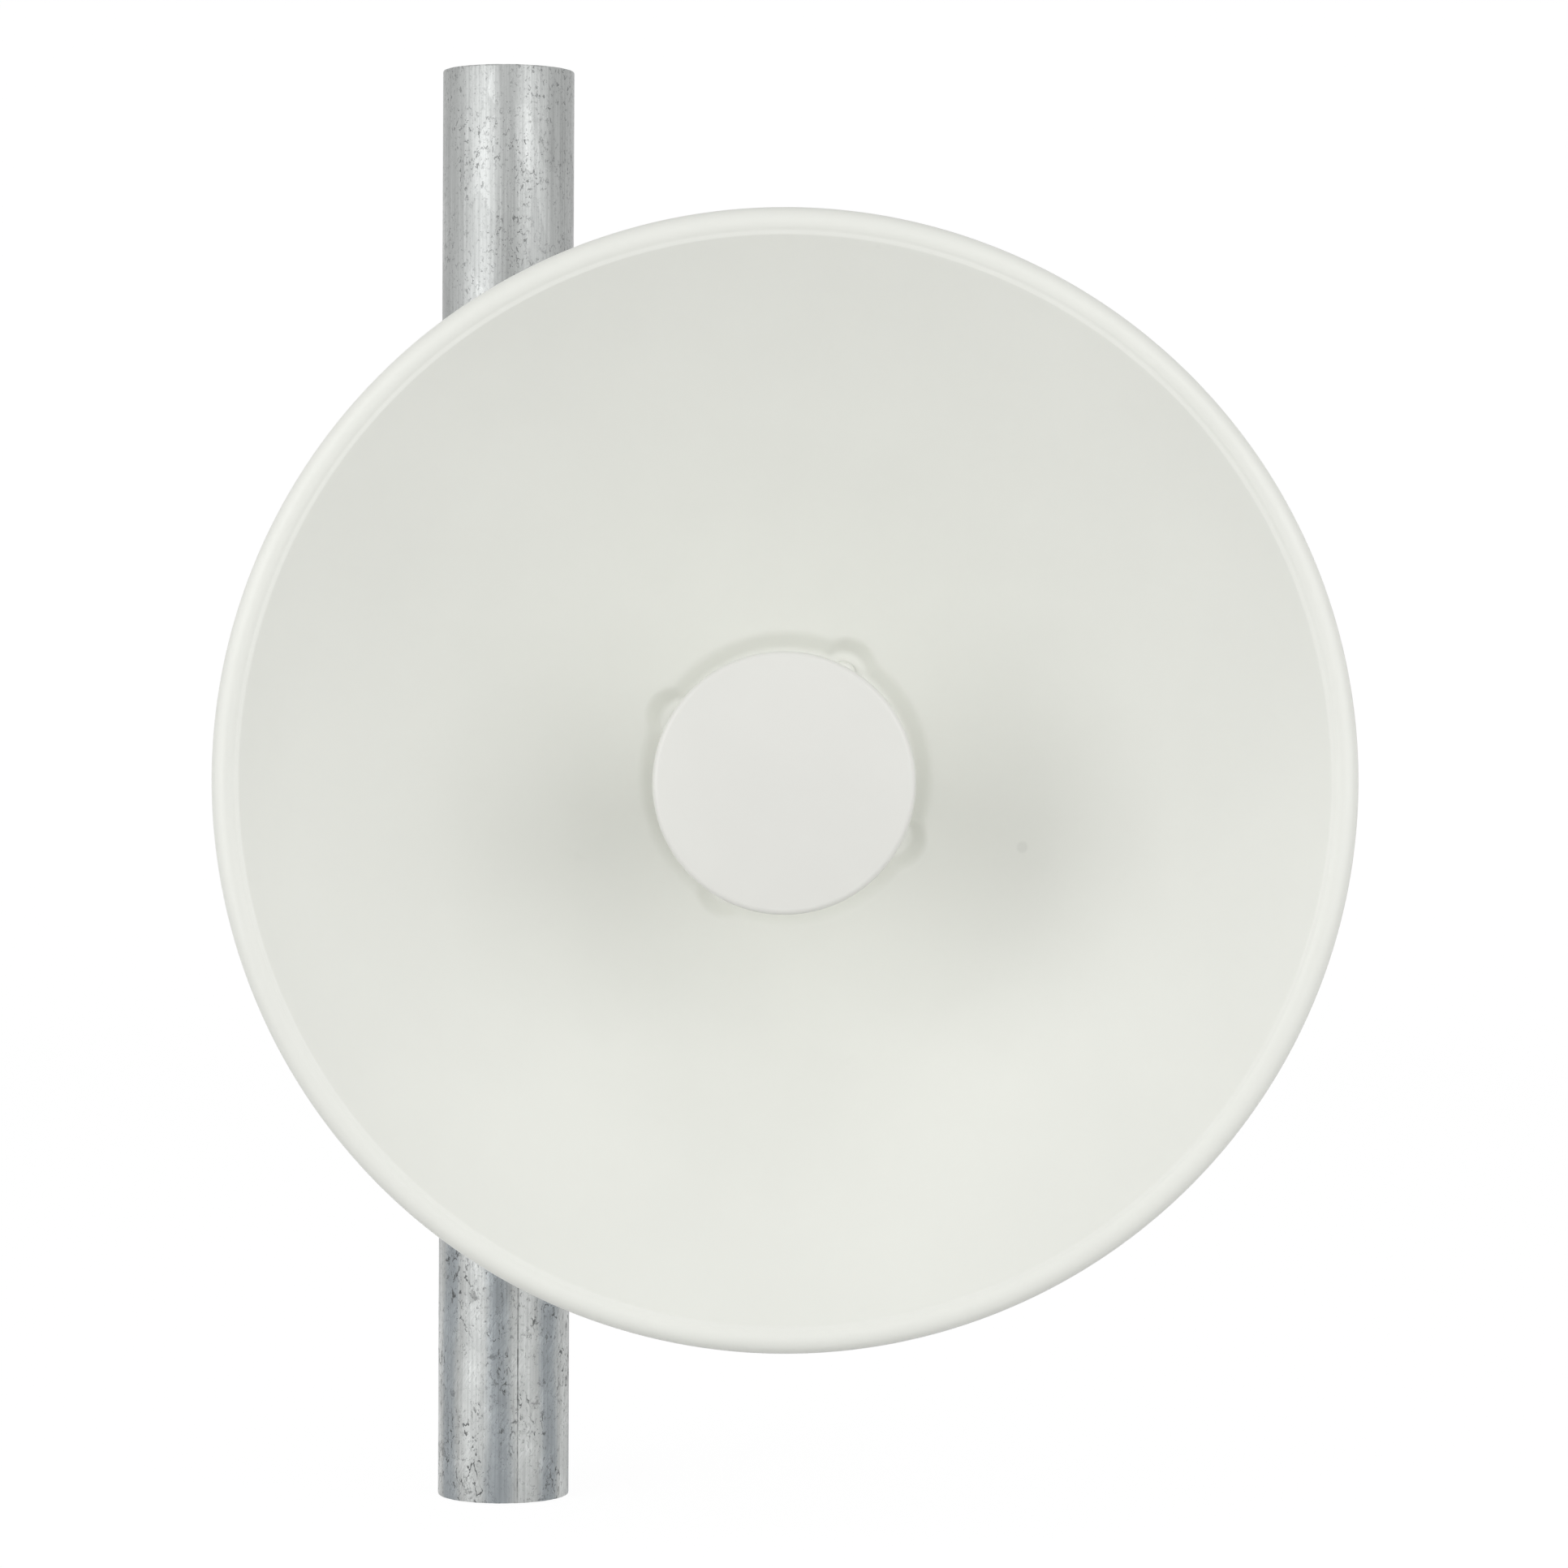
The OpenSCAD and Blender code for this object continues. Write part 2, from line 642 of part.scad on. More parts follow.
module probe_holes(r) {
    for (turn = [0, 90]) rotate(turn) translate([guide_bore - probe_in, 0, probe_f]) rotate([0, 90, 0])
        cylinder(r = r, h = probe_in + guide_wall + probe_out);
}
module feed_waveguide() color("lightgray") boresight()
    difference() {
        union() {
            ring(guide_r, guide_bore, guide_rear, guide_end);
            ring(guide_flange_r, guide_bore, base_front - case_wall - guide_flange_t, base_front - case_wall);
        }
        at_feed_screws() hole(m4_r + tap_gap, base_front - case_wall - guide_flange_t, base_front - case_wall);
        probe_holes(probe_r + bolt_gap);
    }
module waveguide_backshort() color("lightgray") boresight() {
    translate([0, 0, guide_rear - backshort_t]) cylinder(r = guide_r, h = backshort_t);
    translate([0, 0, guide_rear]) cylinder(r = guide_bore - drop_in, h = backshort_step);
}
module feed_probes() color("goldenrod") boresight() {
    probe_holes(probe_r);
    for (turn = [0, 90]) rotate(turn) translate([guide_r + 3, 0, board_front])
        cylinder(r = probe_r, h = probe_f - board_front);
}
module dielectric_cone() color("white") boresight() {
    translate([0, 0, guide_end - plug_depth]) cylinder(r = guide_bore - drop_in, h = plug_depth);
    translate([0, 0, guide_end]) cylinder(r1 = guide_r - cone_root, r2 = splash_r - cone_rim, h = plate_rear - guide_end);
}
module splash_plate() color("silver") boresight() {
    translate([0, 0, plate_rear]) cylinder(r = splash_r, h = splash_t);
    translate([0, 0, plate_rear + splash_t]) cylinder(r1 = boss_base_r, r2 = boss_top_r, h = boss_h);
}
module cap_seal() color("dimgray") boresight()
    translate([0, 0, cap_rear + (seal_groove[0] + seal_groove[1]) / 2]) rotate_extrude()
        translate([cap_in - ring_r, 0]) circle(ring_r - 0.02, $fn = 24);
module feed_cap() color("snow") boresight() {
    crown_r = cap_r - cap_round;
    rotate_extrude() polygon(concat(
        [[0, feed_len - shell_t], [lip_in - 1, feed_len - shell_t], [lip_in - 1, lip_top + seat_gap],
         [cap_in, lip_top + seat_gap], [cap_in, cap_rear], [cap_r, cap_rear]],
        arc([crown_r, feed_len - crown - cap_round], cap_round, 0, 90, 8),
        [for (i = [crown_steps - 1:-1:0]) let (r = crown_r * i / crown_steps)
            [r, feed_len - crown * r * r / (crown_r * crown_r)]]));
}

// ---- Housing ----
module case_inside(from, to) {
    slab(case_w - 2 * case_wall, case_h - 2 * case_wall, case_r - case_wall, from, to);
}
module housing_base() color("whitesmoke") boresight()
    difference() {
        union() {
            difference() {
                slab(case_w, case_h, case_r, base_back, base_front);
                case_inside(base_back - cut, base_front - case_wall);
            }
            at_lobes() post(m5_r + ring_wall, base_back + 2, seat_back);
            at_rim_screws() post(rim_boss_r, base_back, base_front - 1);
            at_posts() post(post_r, board_front, base_front - 1);
        }
        hole(guide_r + drop_in, base_front - case_wall, base_front);
        at_lobes() hole(m5_r + tap_gap, seat_back - m5_depth, seat_back);
        at_feed_screws() hole(m4_r + bolt_gap, base_front - case_wall, base_front);
        at_rim_screws() hole(m3_r + tap_gap, base_back, base_back + rim_tap);
        at_posts() hole(m3_r + tap_gap, board_front, board_front + post_tap);
    }
module cover_gasket() color("dimgray") boresight()
    difference() {
        slab(case_w - 1, case_h - 1, case_r - 0.5, cover_front, base_back);
        case_inside(cover_front - cut, base_back + cut);
    }
module port_hole(x, r, depth) {
    translate([x, -case_h / 2 + depth, port_f]) rotate([90, 0, 0]) cylinder(r = r, h = depth + cut);
}
module housing_cover() color("whitesmoke") boresight()
    difference() {
        union() {
            difference() {
                hull() {
                    slab(case_w, case_h, case_r, cover_rear + 4, cover_front, $fn = 48);
                    slab(case_w - 2 * cover_chamfer, case_h - 2 * cover_chamfer, case_r - cover_chamfer,
                        cover_rear, cover_rear + 1, $fn = 48);
                }
                case_inside(cover_inner, cover_front + cut);
            }
            for (i = [-fin_count:fin_count])
                translate([i * fin_pitch - fin_t / 2, -fin_half_len, cover_rear - fin_h])
                    cube([fin_t, 2 * fin_half_len, fin_h + 1]);
            at_arm_bolts() post(m6_washer_r + 3, boss_rear, cover_rear + 1);
            at_arm_bolts() post(m6_r + ring_wall, cover_rear, cover_rear + boss_in);
            at_rim_screws() post(rim_boss_r, cover_rear + 1, cover_front);
            translate([-can_w / 2, -can_h / 2, cover_rear + 1])
                cube([can_w, can_h, board_rear - can_t - pad_t - cover_rear - 1]);
            translate([ground_x, -case_h / 2 + 1, port_f]) rotate([-90, 0, 0]) cylinder(r = m5_r + 3, h = 11);
        }
        at_arm_bolts() translate([0, 0, boss_rear - cut]) cylinder(r = m6_r + tap_gap, h = m6_depth + cut + 1);
        at_rim_screws() hole(m3_r + drop_in, cover_rear, cover_front);
        at_rim_screws() hole(m3_head_r + bolt_gap, cover_rear, cover_rear + m3_head + 1 - cut);
        port_hole(gland_x, gland_r + drop_in, case_wall + cut);
        port_hole(reset_x, button_r + slide_gap, case_wall + cut);
        for (x = lens_x) port_hole(x, lens_r + 0.05, case_wall + cut);
        port_hole(vent_x, vent_neck + drop_in, case_wall + cut);
        port_hole(ground_x, m5_r + tap_gap, ground_depth + 1);
    }
module cover_screws() color("gainsboro") boresight() at_rim_screws()
    translate([0, 0, cover_rear + m3_head + 1]) mirror([0, 0, 1])
        pan_screw(m3_head_r, m3_head, m3_r, cover_depth - m3_head - 1 + gasket_t + rim_tap - 1);

// ---- Electronics ----
module circuit_board() color("darkgreen") boresight()
    difference() {
        slab(board_w, board_h, 3, board_rear, board_front);
        at_posts() hole(m3_r + drop_in, board_rear, board_front);
    }
module board_screws() color("gainsboro") boresight() at_posts()
    translate([0, 0, board_rear]) mirror([0, 0, 1])
        pan_screw(m3_head_r, m3_head, m3_r, board_t + post_tap - 1);
module shield_can() color("silver") boresight()
    slab(can_w, can_h, 1.5, board_rear - can_t, board_rear);
module thermal_pad() color("steelblue") boresight()
    slab(can_w - 4, can_h - 4, 1, board_rear - can_t - pad_t, board_rear - can_t);
module ethernet_jack() color("silver") boresight()
    difference() {
        translate([gland_x - jack[0] / 2, -board_h / 2 - 1, board_rear - jack[2]]) cube(jack);
        translate([gland_x - jack_port[0] / 2, -board_h / 2 - 1 - cut, board_rear - jack[2] + jack_floor])
            cube(jack_port);
    }
module reset_switch() color("black") boresight()
    translate([reset_x - switch[0] / 2, -board_h / 2, board_rear - switch[2]]) cube(switch);

// ---- Ports ----
module gland_body() color("dimgray") port(gland_x)
    difference() {
        union() {
            hex(gland_flats, gland_flange);
            translate([0, 0, -case_wall - gland_in])
                cylinder(r = gland_r, h = case_wall + gland_in + gland_flange + gland_thread);
        }
        translate([0, 0, -case_wall - gland_in - cut])
            cylinder(r = gland_bore, h = case_wall + gland_in + gland_flange + gland_thread + 2 * cut);
        post(seal_r + drop_in, seal_start, seal_start + seal_len + cut);
    }
module gland_locknut() color("dimgray") port(gland_x)
    translate([0, 0, -case_wall - locknut_t]) hex_nut(gland_flats, locknut_t, gland_r + drop_in);
module gland_seal() color("black") port(gland_x)
    ring(seal_r, seal_bore, seal_start, seal_start + seal_len);
module gland_nut() color("dimgray") port(gland_x)
    difference() {
        union() {
            translate([0, 0, gland_flange + slide_gap])
                cylinder(r = gland_flats / 2, h = nut_len - nut_taper, $fn = 12);
            translate([0, 0, gland_flange + slide_gap + nut_len - nut_taper])
                cylinder(r1 = gland_flats / 2 - 0.5, r2 = gland_flats / 2 - nut_taper, h = nut_taper);
        }
        translate([0, 0, gland_flange]) cylinder(r = gland_r + slide_gap, h = gland_thread + 1);
        cylinder(r = gland_bore + slide_gap, h = gland_flange + 2 * nut_len);
    }
module reset_button() color("black") port(reset_x) {
    translate([0, 0, -button_in]) cylinder(r = button_r, h = button_in + button_proud);
    translate([0, 0, -case_wall - seat_gap - button_collar[1]])
        cylinder(r = button_r + button_collar[0], h = button_collar[1]);
}
module status_lenses() color("palegreen")
    for (x = lens_x) port(x) post(lens_r, -case_wall - lens_in, lens_proud);
module vent_plug() color("dimgray") port(vent_x) {
    translate([0, 0, -case_wall - 1]) cylinder(r = vent_neck, h = case_wall + 1);
    cylinder(r1 = vent_r, r2 = vent_r - vent_h / 2.5, h = vent_h);
}
module ground_screw() color("goldenrod") port(ground_x)
    translate([0, 0, 1]) pan_screw(ground_head_r, m5_head, m5_r, ground_depth + 0.5);
module ground_washer() color("goldenrod") port(ground_x) ring(5.5, m5_r + drop_in, 0, 1);

mast_tube();
pole_bracket();
clamp_bolts();
pivot_bolt();
pivot_sleeve();
lock_bolt();
knuckle_washers();
knuckle_nuts();
clamp_jaw();
clamp_washers();
clamp_spring_washers();
clamp_nuts();
tilt_arm();
arm_bolts();
arm_washers();
reflector_dish();
dish_gasket();
dish_screws();
feed_shroud();
feed_screws();
feed_waveguide();
waveguide_backshort();
feed_probes();
dielectric_cone();
splash_plate();
cap_seal();
feed_cap();
housing_base();
cover_gasket();
housing_cover();
cover_screws();
circuit_board();
board_screws();
shield_can();
thermal_pad();
ethernet_jack();
reset_switch();
gland_body();
gland_locknut();
gland_seal();
gland_nut();
reset_button();
status_lenses();
vent_plug();
ground_screw();
ground_washer();
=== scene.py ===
"""Looks of a parabolic dish antenna on a galvanised mast tube. Metres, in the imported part's frame."""

import json
import math

import bmesh
import bpy
import numpy as np
from mathutils import Matrix, Vector

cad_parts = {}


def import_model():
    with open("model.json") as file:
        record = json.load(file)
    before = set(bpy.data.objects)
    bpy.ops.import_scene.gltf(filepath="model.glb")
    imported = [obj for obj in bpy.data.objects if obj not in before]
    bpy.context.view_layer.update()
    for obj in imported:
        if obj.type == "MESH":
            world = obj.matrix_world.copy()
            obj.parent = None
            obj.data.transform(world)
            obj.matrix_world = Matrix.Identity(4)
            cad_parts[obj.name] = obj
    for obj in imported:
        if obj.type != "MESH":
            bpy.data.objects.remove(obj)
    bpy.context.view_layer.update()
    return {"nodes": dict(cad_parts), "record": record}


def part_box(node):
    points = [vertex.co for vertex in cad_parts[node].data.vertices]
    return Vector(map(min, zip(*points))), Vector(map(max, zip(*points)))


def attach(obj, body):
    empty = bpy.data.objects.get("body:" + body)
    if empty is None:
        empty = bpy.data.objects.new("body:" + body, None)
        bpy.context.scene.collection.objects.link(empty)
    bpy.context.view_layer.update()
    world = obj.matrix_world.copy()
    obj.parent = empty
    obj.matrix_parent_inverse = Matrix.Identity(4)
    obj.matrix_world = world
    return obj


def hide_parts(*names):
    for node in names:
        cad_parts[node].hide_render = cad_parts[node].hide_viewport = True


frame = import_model()
MM = 0.001
TAU = 2 * math.pi


# ---- Places read from the frame ----

def centre(node):
    low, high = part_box(node)
    return (low + high) / 2


def size(node):
    low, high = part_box(node)
    return high - low


DISH = centre("reflector_dish")
VERTEX_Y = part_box("reflector_dish")[1].y - 0.5 * MM  # the seat's back is 0.5 mm behind the vertex
MAST_LEN = size("mast_tube").z
MAST_R = size("mast_tube").x / 2
CLAMP_Z = centre("clamp_bolts").z
PIVOT = centre("pivot_bolt")
LOCK = centre("lock_bolt")

SEAM_ANGLE = math.radians(16)  # the tube's weld seam, turned from the front towards +x

# Boresight frame: x right, y up, z forward out of the dish, origin at the paraboloid's vertex
BORESIGHT = Matrix.Translation((DISH.x, VERTEX_Y, DISH.z)) @ Matrix.Rotation(math.pi / 2, 4, "X")


# ---- Outlines and meshes ----

def arc(cx, cy, radius, start, end, steps):
    """Points on an arc, angles in degrees."""
    return [(cx + radius * math.cos(math.radians(start + (end - start) * i / steps)),
             cy + radius * math.sin(math.radians(start + (end - start) * i / steps))) for i in range(steps + 1)]


def circle(radius, z, steps):
    """A ring of points round z, the first on x."""
    return [(radius * math.cos(TAU * j / steps), radius * math.sin(TAU * j / steps), z) for j in range(steps)]


def filleted(corners, steps=5):
    """A closed outline from (x, y, radius) corners, each rounded to its radius where it has one."""
    out = []
    n = len(corners)
    for i, (x, y, radius) in enumerate(corners):
        here = Vector((x, y))
        if radius <= 0:
            out.append((x, y))
            continue
        back = Vector(corners[i - 1][:2]) - here
        ahead = Vector(corners[(i + 1) % n][:2]) - here
        turn = back.angle(ahead, math.pi)
        if turn > math.pi - 0.01:
            out.append((x, y))
            continue
        reach = min(radius / math.tan(turn / 2), 0.48 * back.length, 0.48 * ahead.length)
        start, end = here + back.normalized() * reach, here + ahead.normalized() * reach
        for k in range(steps + 1):
            t = k / steps
            out.append(tuple((1 - t) ** 2 * start + 2 * t * (1 - t) * here + t * t * end))
    return out


class Shape:
    """Vertices and faces, gathered before they become one Blender mesh."""

    def __init__(self, verts=(), faces=()):
        self.verts, self.faces = [Vector(v) for v in verts], [tuple(f) for f in faces]

    def __add__(self, other):
        shift = len(self.verts)
        both = Shape(self.verts, self.faces)
        both.verts += [v.copy() for v in other.verts]
        both.faces += [tuple(i + shift for i in f) for f in other.faces]
        return both

    def placed(self, matrix):
        return Shape([matrix @ v for v in self.verts], self.faces)

    def mesh(self, name, sharp=35):
        mesh = bpy.data.meshes.new(name)
        mesh.from_pydata([tuple(v) for v in self.verts], [], self.faces)
        bm = bmesh.new()
        bm.from_mesh(mesh)
        bmesh.ops.recalc_face_normals(bm, faces=bm.faces)
        bm.to_mesh(mesh)
        bm.free()
        mesh.shade_smooth()
        mesh.set_sharp_from_angle(angle=math.radians(sharp))
        return mesh


def together(shapes):
    total = Shape()
    for shape in shapes:
        total = total + shape
    return total


def grid(rings, closed_ring=True, closed_path=True):
    """A skin over rows of points; each row closes on itself, and the rows may close on each other."""
    count = len(rings[0])
    verts = [p for ring in rings for p in ring]
    faces = []
    rows = len(rings) if closed_path else len(rings) - 1
    for i in range(rows):
        a, b = i * count, ((i + 1) % len(rings)) * count
        for j in range(count if closed_ring else count - 1):
            k = (j + 1) % count
            faces.append((a + j, a + k, b + k, b + j))
    return Shape(verts, faces)


def plugged(rings):
    """A skin over rings of points, with a flat face at either end."""
    shape = grid(rings, closed_path=False)
    count = len(rings[0])
    shape.faces.append(tuple(range(count))[::-1])
    shape.faces.append(tuple(range((len(rings) - 1) * count, len(rings) * count)))
    return shape


def lathe(outline, steps=96):
    """Turns an outline of (radius, height) about z. A radius of 0 makes a pole."""
    ends_on_axis = outline[0][0] <= 0 and outline[-1][0] <= 0
    body = outline[1:-1] if ends_on_axis else outline
    shape = grid([circle(r, h, steps) for r, h in body], closed_path=not ends_on_axis)
    if ends_on_axis:
        last = (len(body) - 1) * steps
        shape.verts += [Vector((0, 0, outline[0][1])), Vector((0, 0, outline[-1][1]))]
        low, high = len(shape.verts) - 2, len(shape.verts) - 1
        shape.faces += [((j + 1) % steps, j, low) for j in range(steps)]
        shape.faces += [(last + j, last + (j + 1) % steps, high) for j in range(steps)]
    return shape


def along(axis, x, y, z):
    """A matrix that stands a lathe's z along a row axis, at a point."""
    turn = {"+x": Matrix.Rotation(math.pi / 2, 4, "Y"), "-x": Matrix.Rotation(-math.pi / 2, 4, "Y"),
            "+y": Matrix.Rotation(-math.pi / 2, 4, "X"), "-y": Matrix.Rotation(math.pi / 2, 4, "X"),
            "+z": Matrix.Identity(4), "-z": Matrix.Rotation(math.pi, 4, "X")}[axis]
    return Matrix.Translation((x, y, z)) @ turn


def added(name, data):
    """A new object in the scene."""
    obj = bpy.data.objects.new(name, data)
    bpy.context.scene.collection.objects.link(obj)
    return obj


def piece(name, shape, body, slot, stands_for=(), sharp=35):
    """A rigid piece in its slot's material, standing for nodes where it names them."""
    obj = added(name, shape.mesh(name, sharp))
    obj.data.materials.append(MATERIALS[slot])
    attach(obj, body)
    if stands_for:
        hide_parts(*stands_for)


def softened(node, body, slot, width):
    """A rigid node with its sharp edges rounded off, standing for that node."""
    bm = bmesh.new()
    bm.from_mesh(frame["nodes"][node].data)
    bmesh.ops.remove_doubles(bm, verts=bm.verts, dist=2e-6)
    bmesh.ops.dissolve_limit(bm, angle_limit=math.radians(0.4), verts=bm.verts, edges=bm.edges)
    # A flat face with many corners and holes can fill wrongly once its edges have moved.
    bmesh.ops.triangulate(bm, faces=[face for face in bm.faces if len(face.verts) > 12],
                          quad_method="BEAUTY", ngon_method="BEAUTY")
    mesh = bpy.data.meshes.new(node + "_softened")
    bm.to_mesh(mesh)
    bm.free()
    mesh.shade_smooth()
    mesh.materials.clear()
    mesh.materials.append(MATERIALS[slot])
    obj = added(node + "_softened", mesh)
    edges = obj.modifiers.new("edges", "BEVEL")
    edges.width = width
    edges.segments = 3
    edges.limit_method = "ANGLE"
    edges.angle_limit = math.radians(32)
    edges.harden_normals = True
    edges.miter_outer = "MITER_ARC"
    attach(obj, body)
    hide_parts(node)


# ---- Fasteners ----

def hex_reach(flats, angle):
    """Distance from a hexagon's middle to its side, at an angle."""
    return flats / 2 / math.cos((angle % (TAU / 6)) - TAU / 12)


def hex_prism(flats, height, bore=0.0, both_ends=False):
    """A hexagon with its corners chamfered as on a real head or nut, from z 0 to height."""
    steps = 72
    top_r = 0.475 * flats
    slope = math.tan(math.radians(30))

    def side(z_end, sign):
        row = []
        for j in range(steps):
            a = TAU * j / steps
            r = hex_reach(flats, a)
            row.append((r * math.cos(a), r * math.sin(a), z_end - sign * (r - top_r) * slope))
        return row

    def ring(r, z):
        return circle(r, z, steps)

    rows = [ring(top_r, 0), side(0, -1 if both_ends else 0), side(height, 1), ring(top_r, height)]
    if bore:
        lead = 0.12 * bore
        rows = [ring(bore + lead, 0)] + rows
        return grid(rows + [ring(bore + lead, height), ring(bore, height - lead), ring(bore, lead)])
    rows.append(ring(top_r * 0.8, height - 0.03 * flats))
    shape = grid(rows, closed_path=False)
    shape.verts += [Vector((0, 0, 0)), Vector((0, 0, height - 0.035 * flats))]
    base, tip, last = len(shape.verts) - 2, len(shape.verts) - 1, (len(rows) - 1) * steps
    shape.faces += [((j + 1) % steps, j, base) for j in range(steps)]
    shape.faces += [(last + j, last + (j + 1) % steps, tip) for j in range(steps)]
    return shape


def thread(radius, pitch, start, end):
    """A threaded rod from z start to end, its crest at the stated radius."""
    steps, per_turn = 28, 8
    depth = 0.55 * pitch
    rows = []
    count = max(4, int((end - start) / pitch * per_turn))
    for i in range(count + 1):
        z = start + (end - start) * i / count
        run_out = min(1.0, (end - z) / (1.5 * pitch))
        row = []
        for j in range(steps):
            phase = (z / pitch + j / steps) % 1.0
            groove = max(0.0, 1 - abs(phase - 0.5) / 0.42)
            r = radius * (0.9 + 0.1 * run_out) - depth * groove
            row.append((r * math.cos(TAU * j / steps), r * math.sin(TAU * j / steps), z))
        rows.append(row)
    return plugged(rows)


def washer(outer, inner, height):
    edge = 0.25 * MM
    corners = [(inner, 0, edge), (outer, 0, edge), (outer, height, edge), (inner, height, edge)]
    return lathe(filleted(corners, 3), 64)


def pan_head(head_r, height, drive_r):
    """A domed screw head with a six-lobe drive pressed into it, from z 0 up."""
    steps = 72
    dome = [(head_r * 0.96, 0.0), (head_r, 0.12 * height), (head_r * 0.97, 0.45 * height),
            (head_r * 0.84, 0.78 * height), (head_r * 0.66, 0.94 * height), (head_r * 0.55, height)]
    rows = [circle(r, z, steps) for r, z in dome]
    for depth in (height, 0.45 * height):
        rows.append([])
        for j in range(steps):
            a = TAU * j / steps
            r = drive_r * (0.86 + 0.14 * math.cos(6 * a))
            rows[-1].append((r * math.cos(a), r * math.sin(a), depth))
    return plugged(rows)


# ---- Materials ----

DARK_ZINC = (0.1, 0.105, 0.105)
WEAR_AND_BANDS_BELOW, PLAIN_ABOVE = 0.16, 0.36  # heights on the tube between which its wear and its painted reflection bands fade out
PAINTED_BAND_SPACING = 26 * MM  # spacing round the tube of the painted light and dark reflection bands (painted highlight and painted shade) on its lower part


class Paint:
    """One material, built node by node around a Principled shader."""

    def __init__(self, name, colour, roughness, metallic=0.0):
        self.material = bpy.data.materials.new(name)
        self.material.use_nodes = True
        self.tree = self.material.node_tree
        self.shader = self.tree.nodes["Principled BSDF"]
        self.shader.inputs["Base Color"].default_value = (*colour, 1)
        self.shader.inputs["Roughness"].default_value = roughness
        self.shader.inputs["Metallic"].default_value = metallic
        self.where = self.tree.nodes.new("ShaderNodeTexCoord").outputs["Object"]

    def link(self, source, target):
        self.tree.links.new(source, target)

    def node(self, kind, **values):
        made = self.tree.nodes.new(kind)
        for key, value in values.items():
            setattr(made, key, value)
        return made

    def stretched(self, x, y, z, turn=0.0, where=None):
        """Coordinates turned about z, then scaled."""
        mapping = self.node("ShaderNodeMapping", vector_type="TEXTURE")
        mapping.inputs["Rotation"].default_value = (0, 0, math.radians(turn))
        mapping.inputs["Scale"].default_value = (1 / x, 1 / y, 1 / z)
        self.link(where or self.where, mapping.inputs["Vector"])
        return mapping.outputs["Vector"]

    def warped(self, where, scale, reach):
        """Coordinates pushed about by noise, up to the reach."""
        shift = self.node("ShaderNodeTexNoise")
        shift.inputs["Scale"].default_value = scale
        self.link(where, shift.inputs["Vector"])
        made = self.node("ShaderNodeVectorMath", operation="MULTIPLY_ADD")
        self.link(shift.outputs["Color"], made.inputs[0])
        made.inputs[1].default_value = (reach, reach, reach)
        self.link(where, made.inputs[2])
        return made.outputs[0]

    def cracks(self, where, scale, width, broken):
        """Thin lines between cells, kept only where a finer noise is over the broken level."""
        edge = self.cells(scale, "DISTANCE_TO_EDGE", where).outputs["Distance"]
        lines = self.span(edge, 0.3 * width, width, 1.0, 0.0)
        kept = self.span(self.noise(1.3 * scale, 3, 0.6, where), broken, broken + 0.07)
        return self.product(lines, kept)

    def strongest(self, *values):
        most = values[0]
        for value in values[1:]:
            most = self.maths("MAXIMUM", most, value)
        return most

    def product(self, *values):
        total = values[0]
        for value in values[1:]:
            total = self.maths("MULTIPLY", total, value)
        return total

    def channels(self, colour):
        made = self.node("ShaderNodeSeparateColor")
        self.link(colour, made.inputs["Color"])
        return made.outputs

    def noise(self, scale, detail=2.0, roughness=0.5, where=None):
        made = self.node("ShaderNodeTexNoise")
        made.inputs["Scale"].default_value = scale
        made.inputs["Detail"].default_value = detail
        made.inputs["Roughness"].default_value = roughness
        self.link(where or self.where, made.inputs["Vector"])
        return made.outputs["Fac"]

    def cells(self, scale, feature="F1", where=None):
        made = self.node("ShaderNodeTexVoronoi", feature=feature)
        made.inputs["Scale"].default_value = scale
        self.link(where or self.where, made.inputs["Vector"])
        return made

    def span(self, value, low, high, out_low=0.0, out_high=1.0, smooth=True):
        made = self.node("ShaderNodeMapRange")
        made.interpolation_type = "SMOOTHSTEP" if smooth else "LINEAR"
        for key, number in (("From Min", low), ("From Max", high), ("To Min", out_low), ("To Max", out_high)):
            made.inputs[key].default_value = number
        self.link(value, made.inputs["Value"])
        return made.outputs["Result"]

    def maths(self, operation, *values):
        made = self.node("ShaderNodeMath", operation=operation)
        for socket, value in zip(made.inputs, values):
            if isinstance(value, (int, float)):
                socket.default_value = value
            else:
                self.link(value, socket)
        return made.outputs[0]

    def blend(self, factor, a, b):
        made = self.node("ShaderNodeMix", data_type="RGBA")
        for socket, value in ((made.inputs[0], factor), (made.inputs[6], a), (made.inputs[7], b)):
            if isinstance(value, (int, float)):
                socket.default_value = value
            elif isinstance(value, tuple):
                socket.default_value = (*value, 1)
            else:
                self.link(value, socket)
        return made.outputs[2]

    def clouded(self, colour, scale, detail):
        """The colour, a little darker and lighter in soft clouds."""
        cloud = self.span(self.noise(scale, detail), 0.3, 0.7)
        return self.blend(cloud, tuple(c * 0.985 for c in colour), tuple(min(1, c * 1.01) for c in colour))

    def colour(self, value):
        self.link(value, self.shader.inputs["Base Color"])

    def roughness(self, value):
        self.link(value, self.shader.inputs["Roughness"])

    def bump(self, height, distance, strength=1.0, under=None):
        made = self.node("ShaderNodeBump")
        made.inputs["Strength"].default_value = strength
        made.inputs["Distance"].default_value = distance
        self.link(height, made.inputs["Height"])
        if under:
            self.link(under, made.inputs["Normal"])
        self.link(made.outputs["Normal"], self.shader.inputs["Normal"])
        return made.outputs["Normal"]

    def zinc(self, colour, tone, marks, rough):
        """Metal of a colour times a tone, with dark dull marks in it."""
        scaled = self.node("ShaderNodeVectorMath", operation="SCALE")
        if isinstance(colour, tuple):
            scaled.inputs[0].default_value = colour
        else:
            self.link(colour, scaled.inputs[0])
        self.link(tone, scaled.inputs["Scale"])
        self.colour(self.blend(marks, scaled.outputs[0], DARK_ZINC))
        self.roughness(self.maths("ADD", rough, self.product(marks, 0.3)))

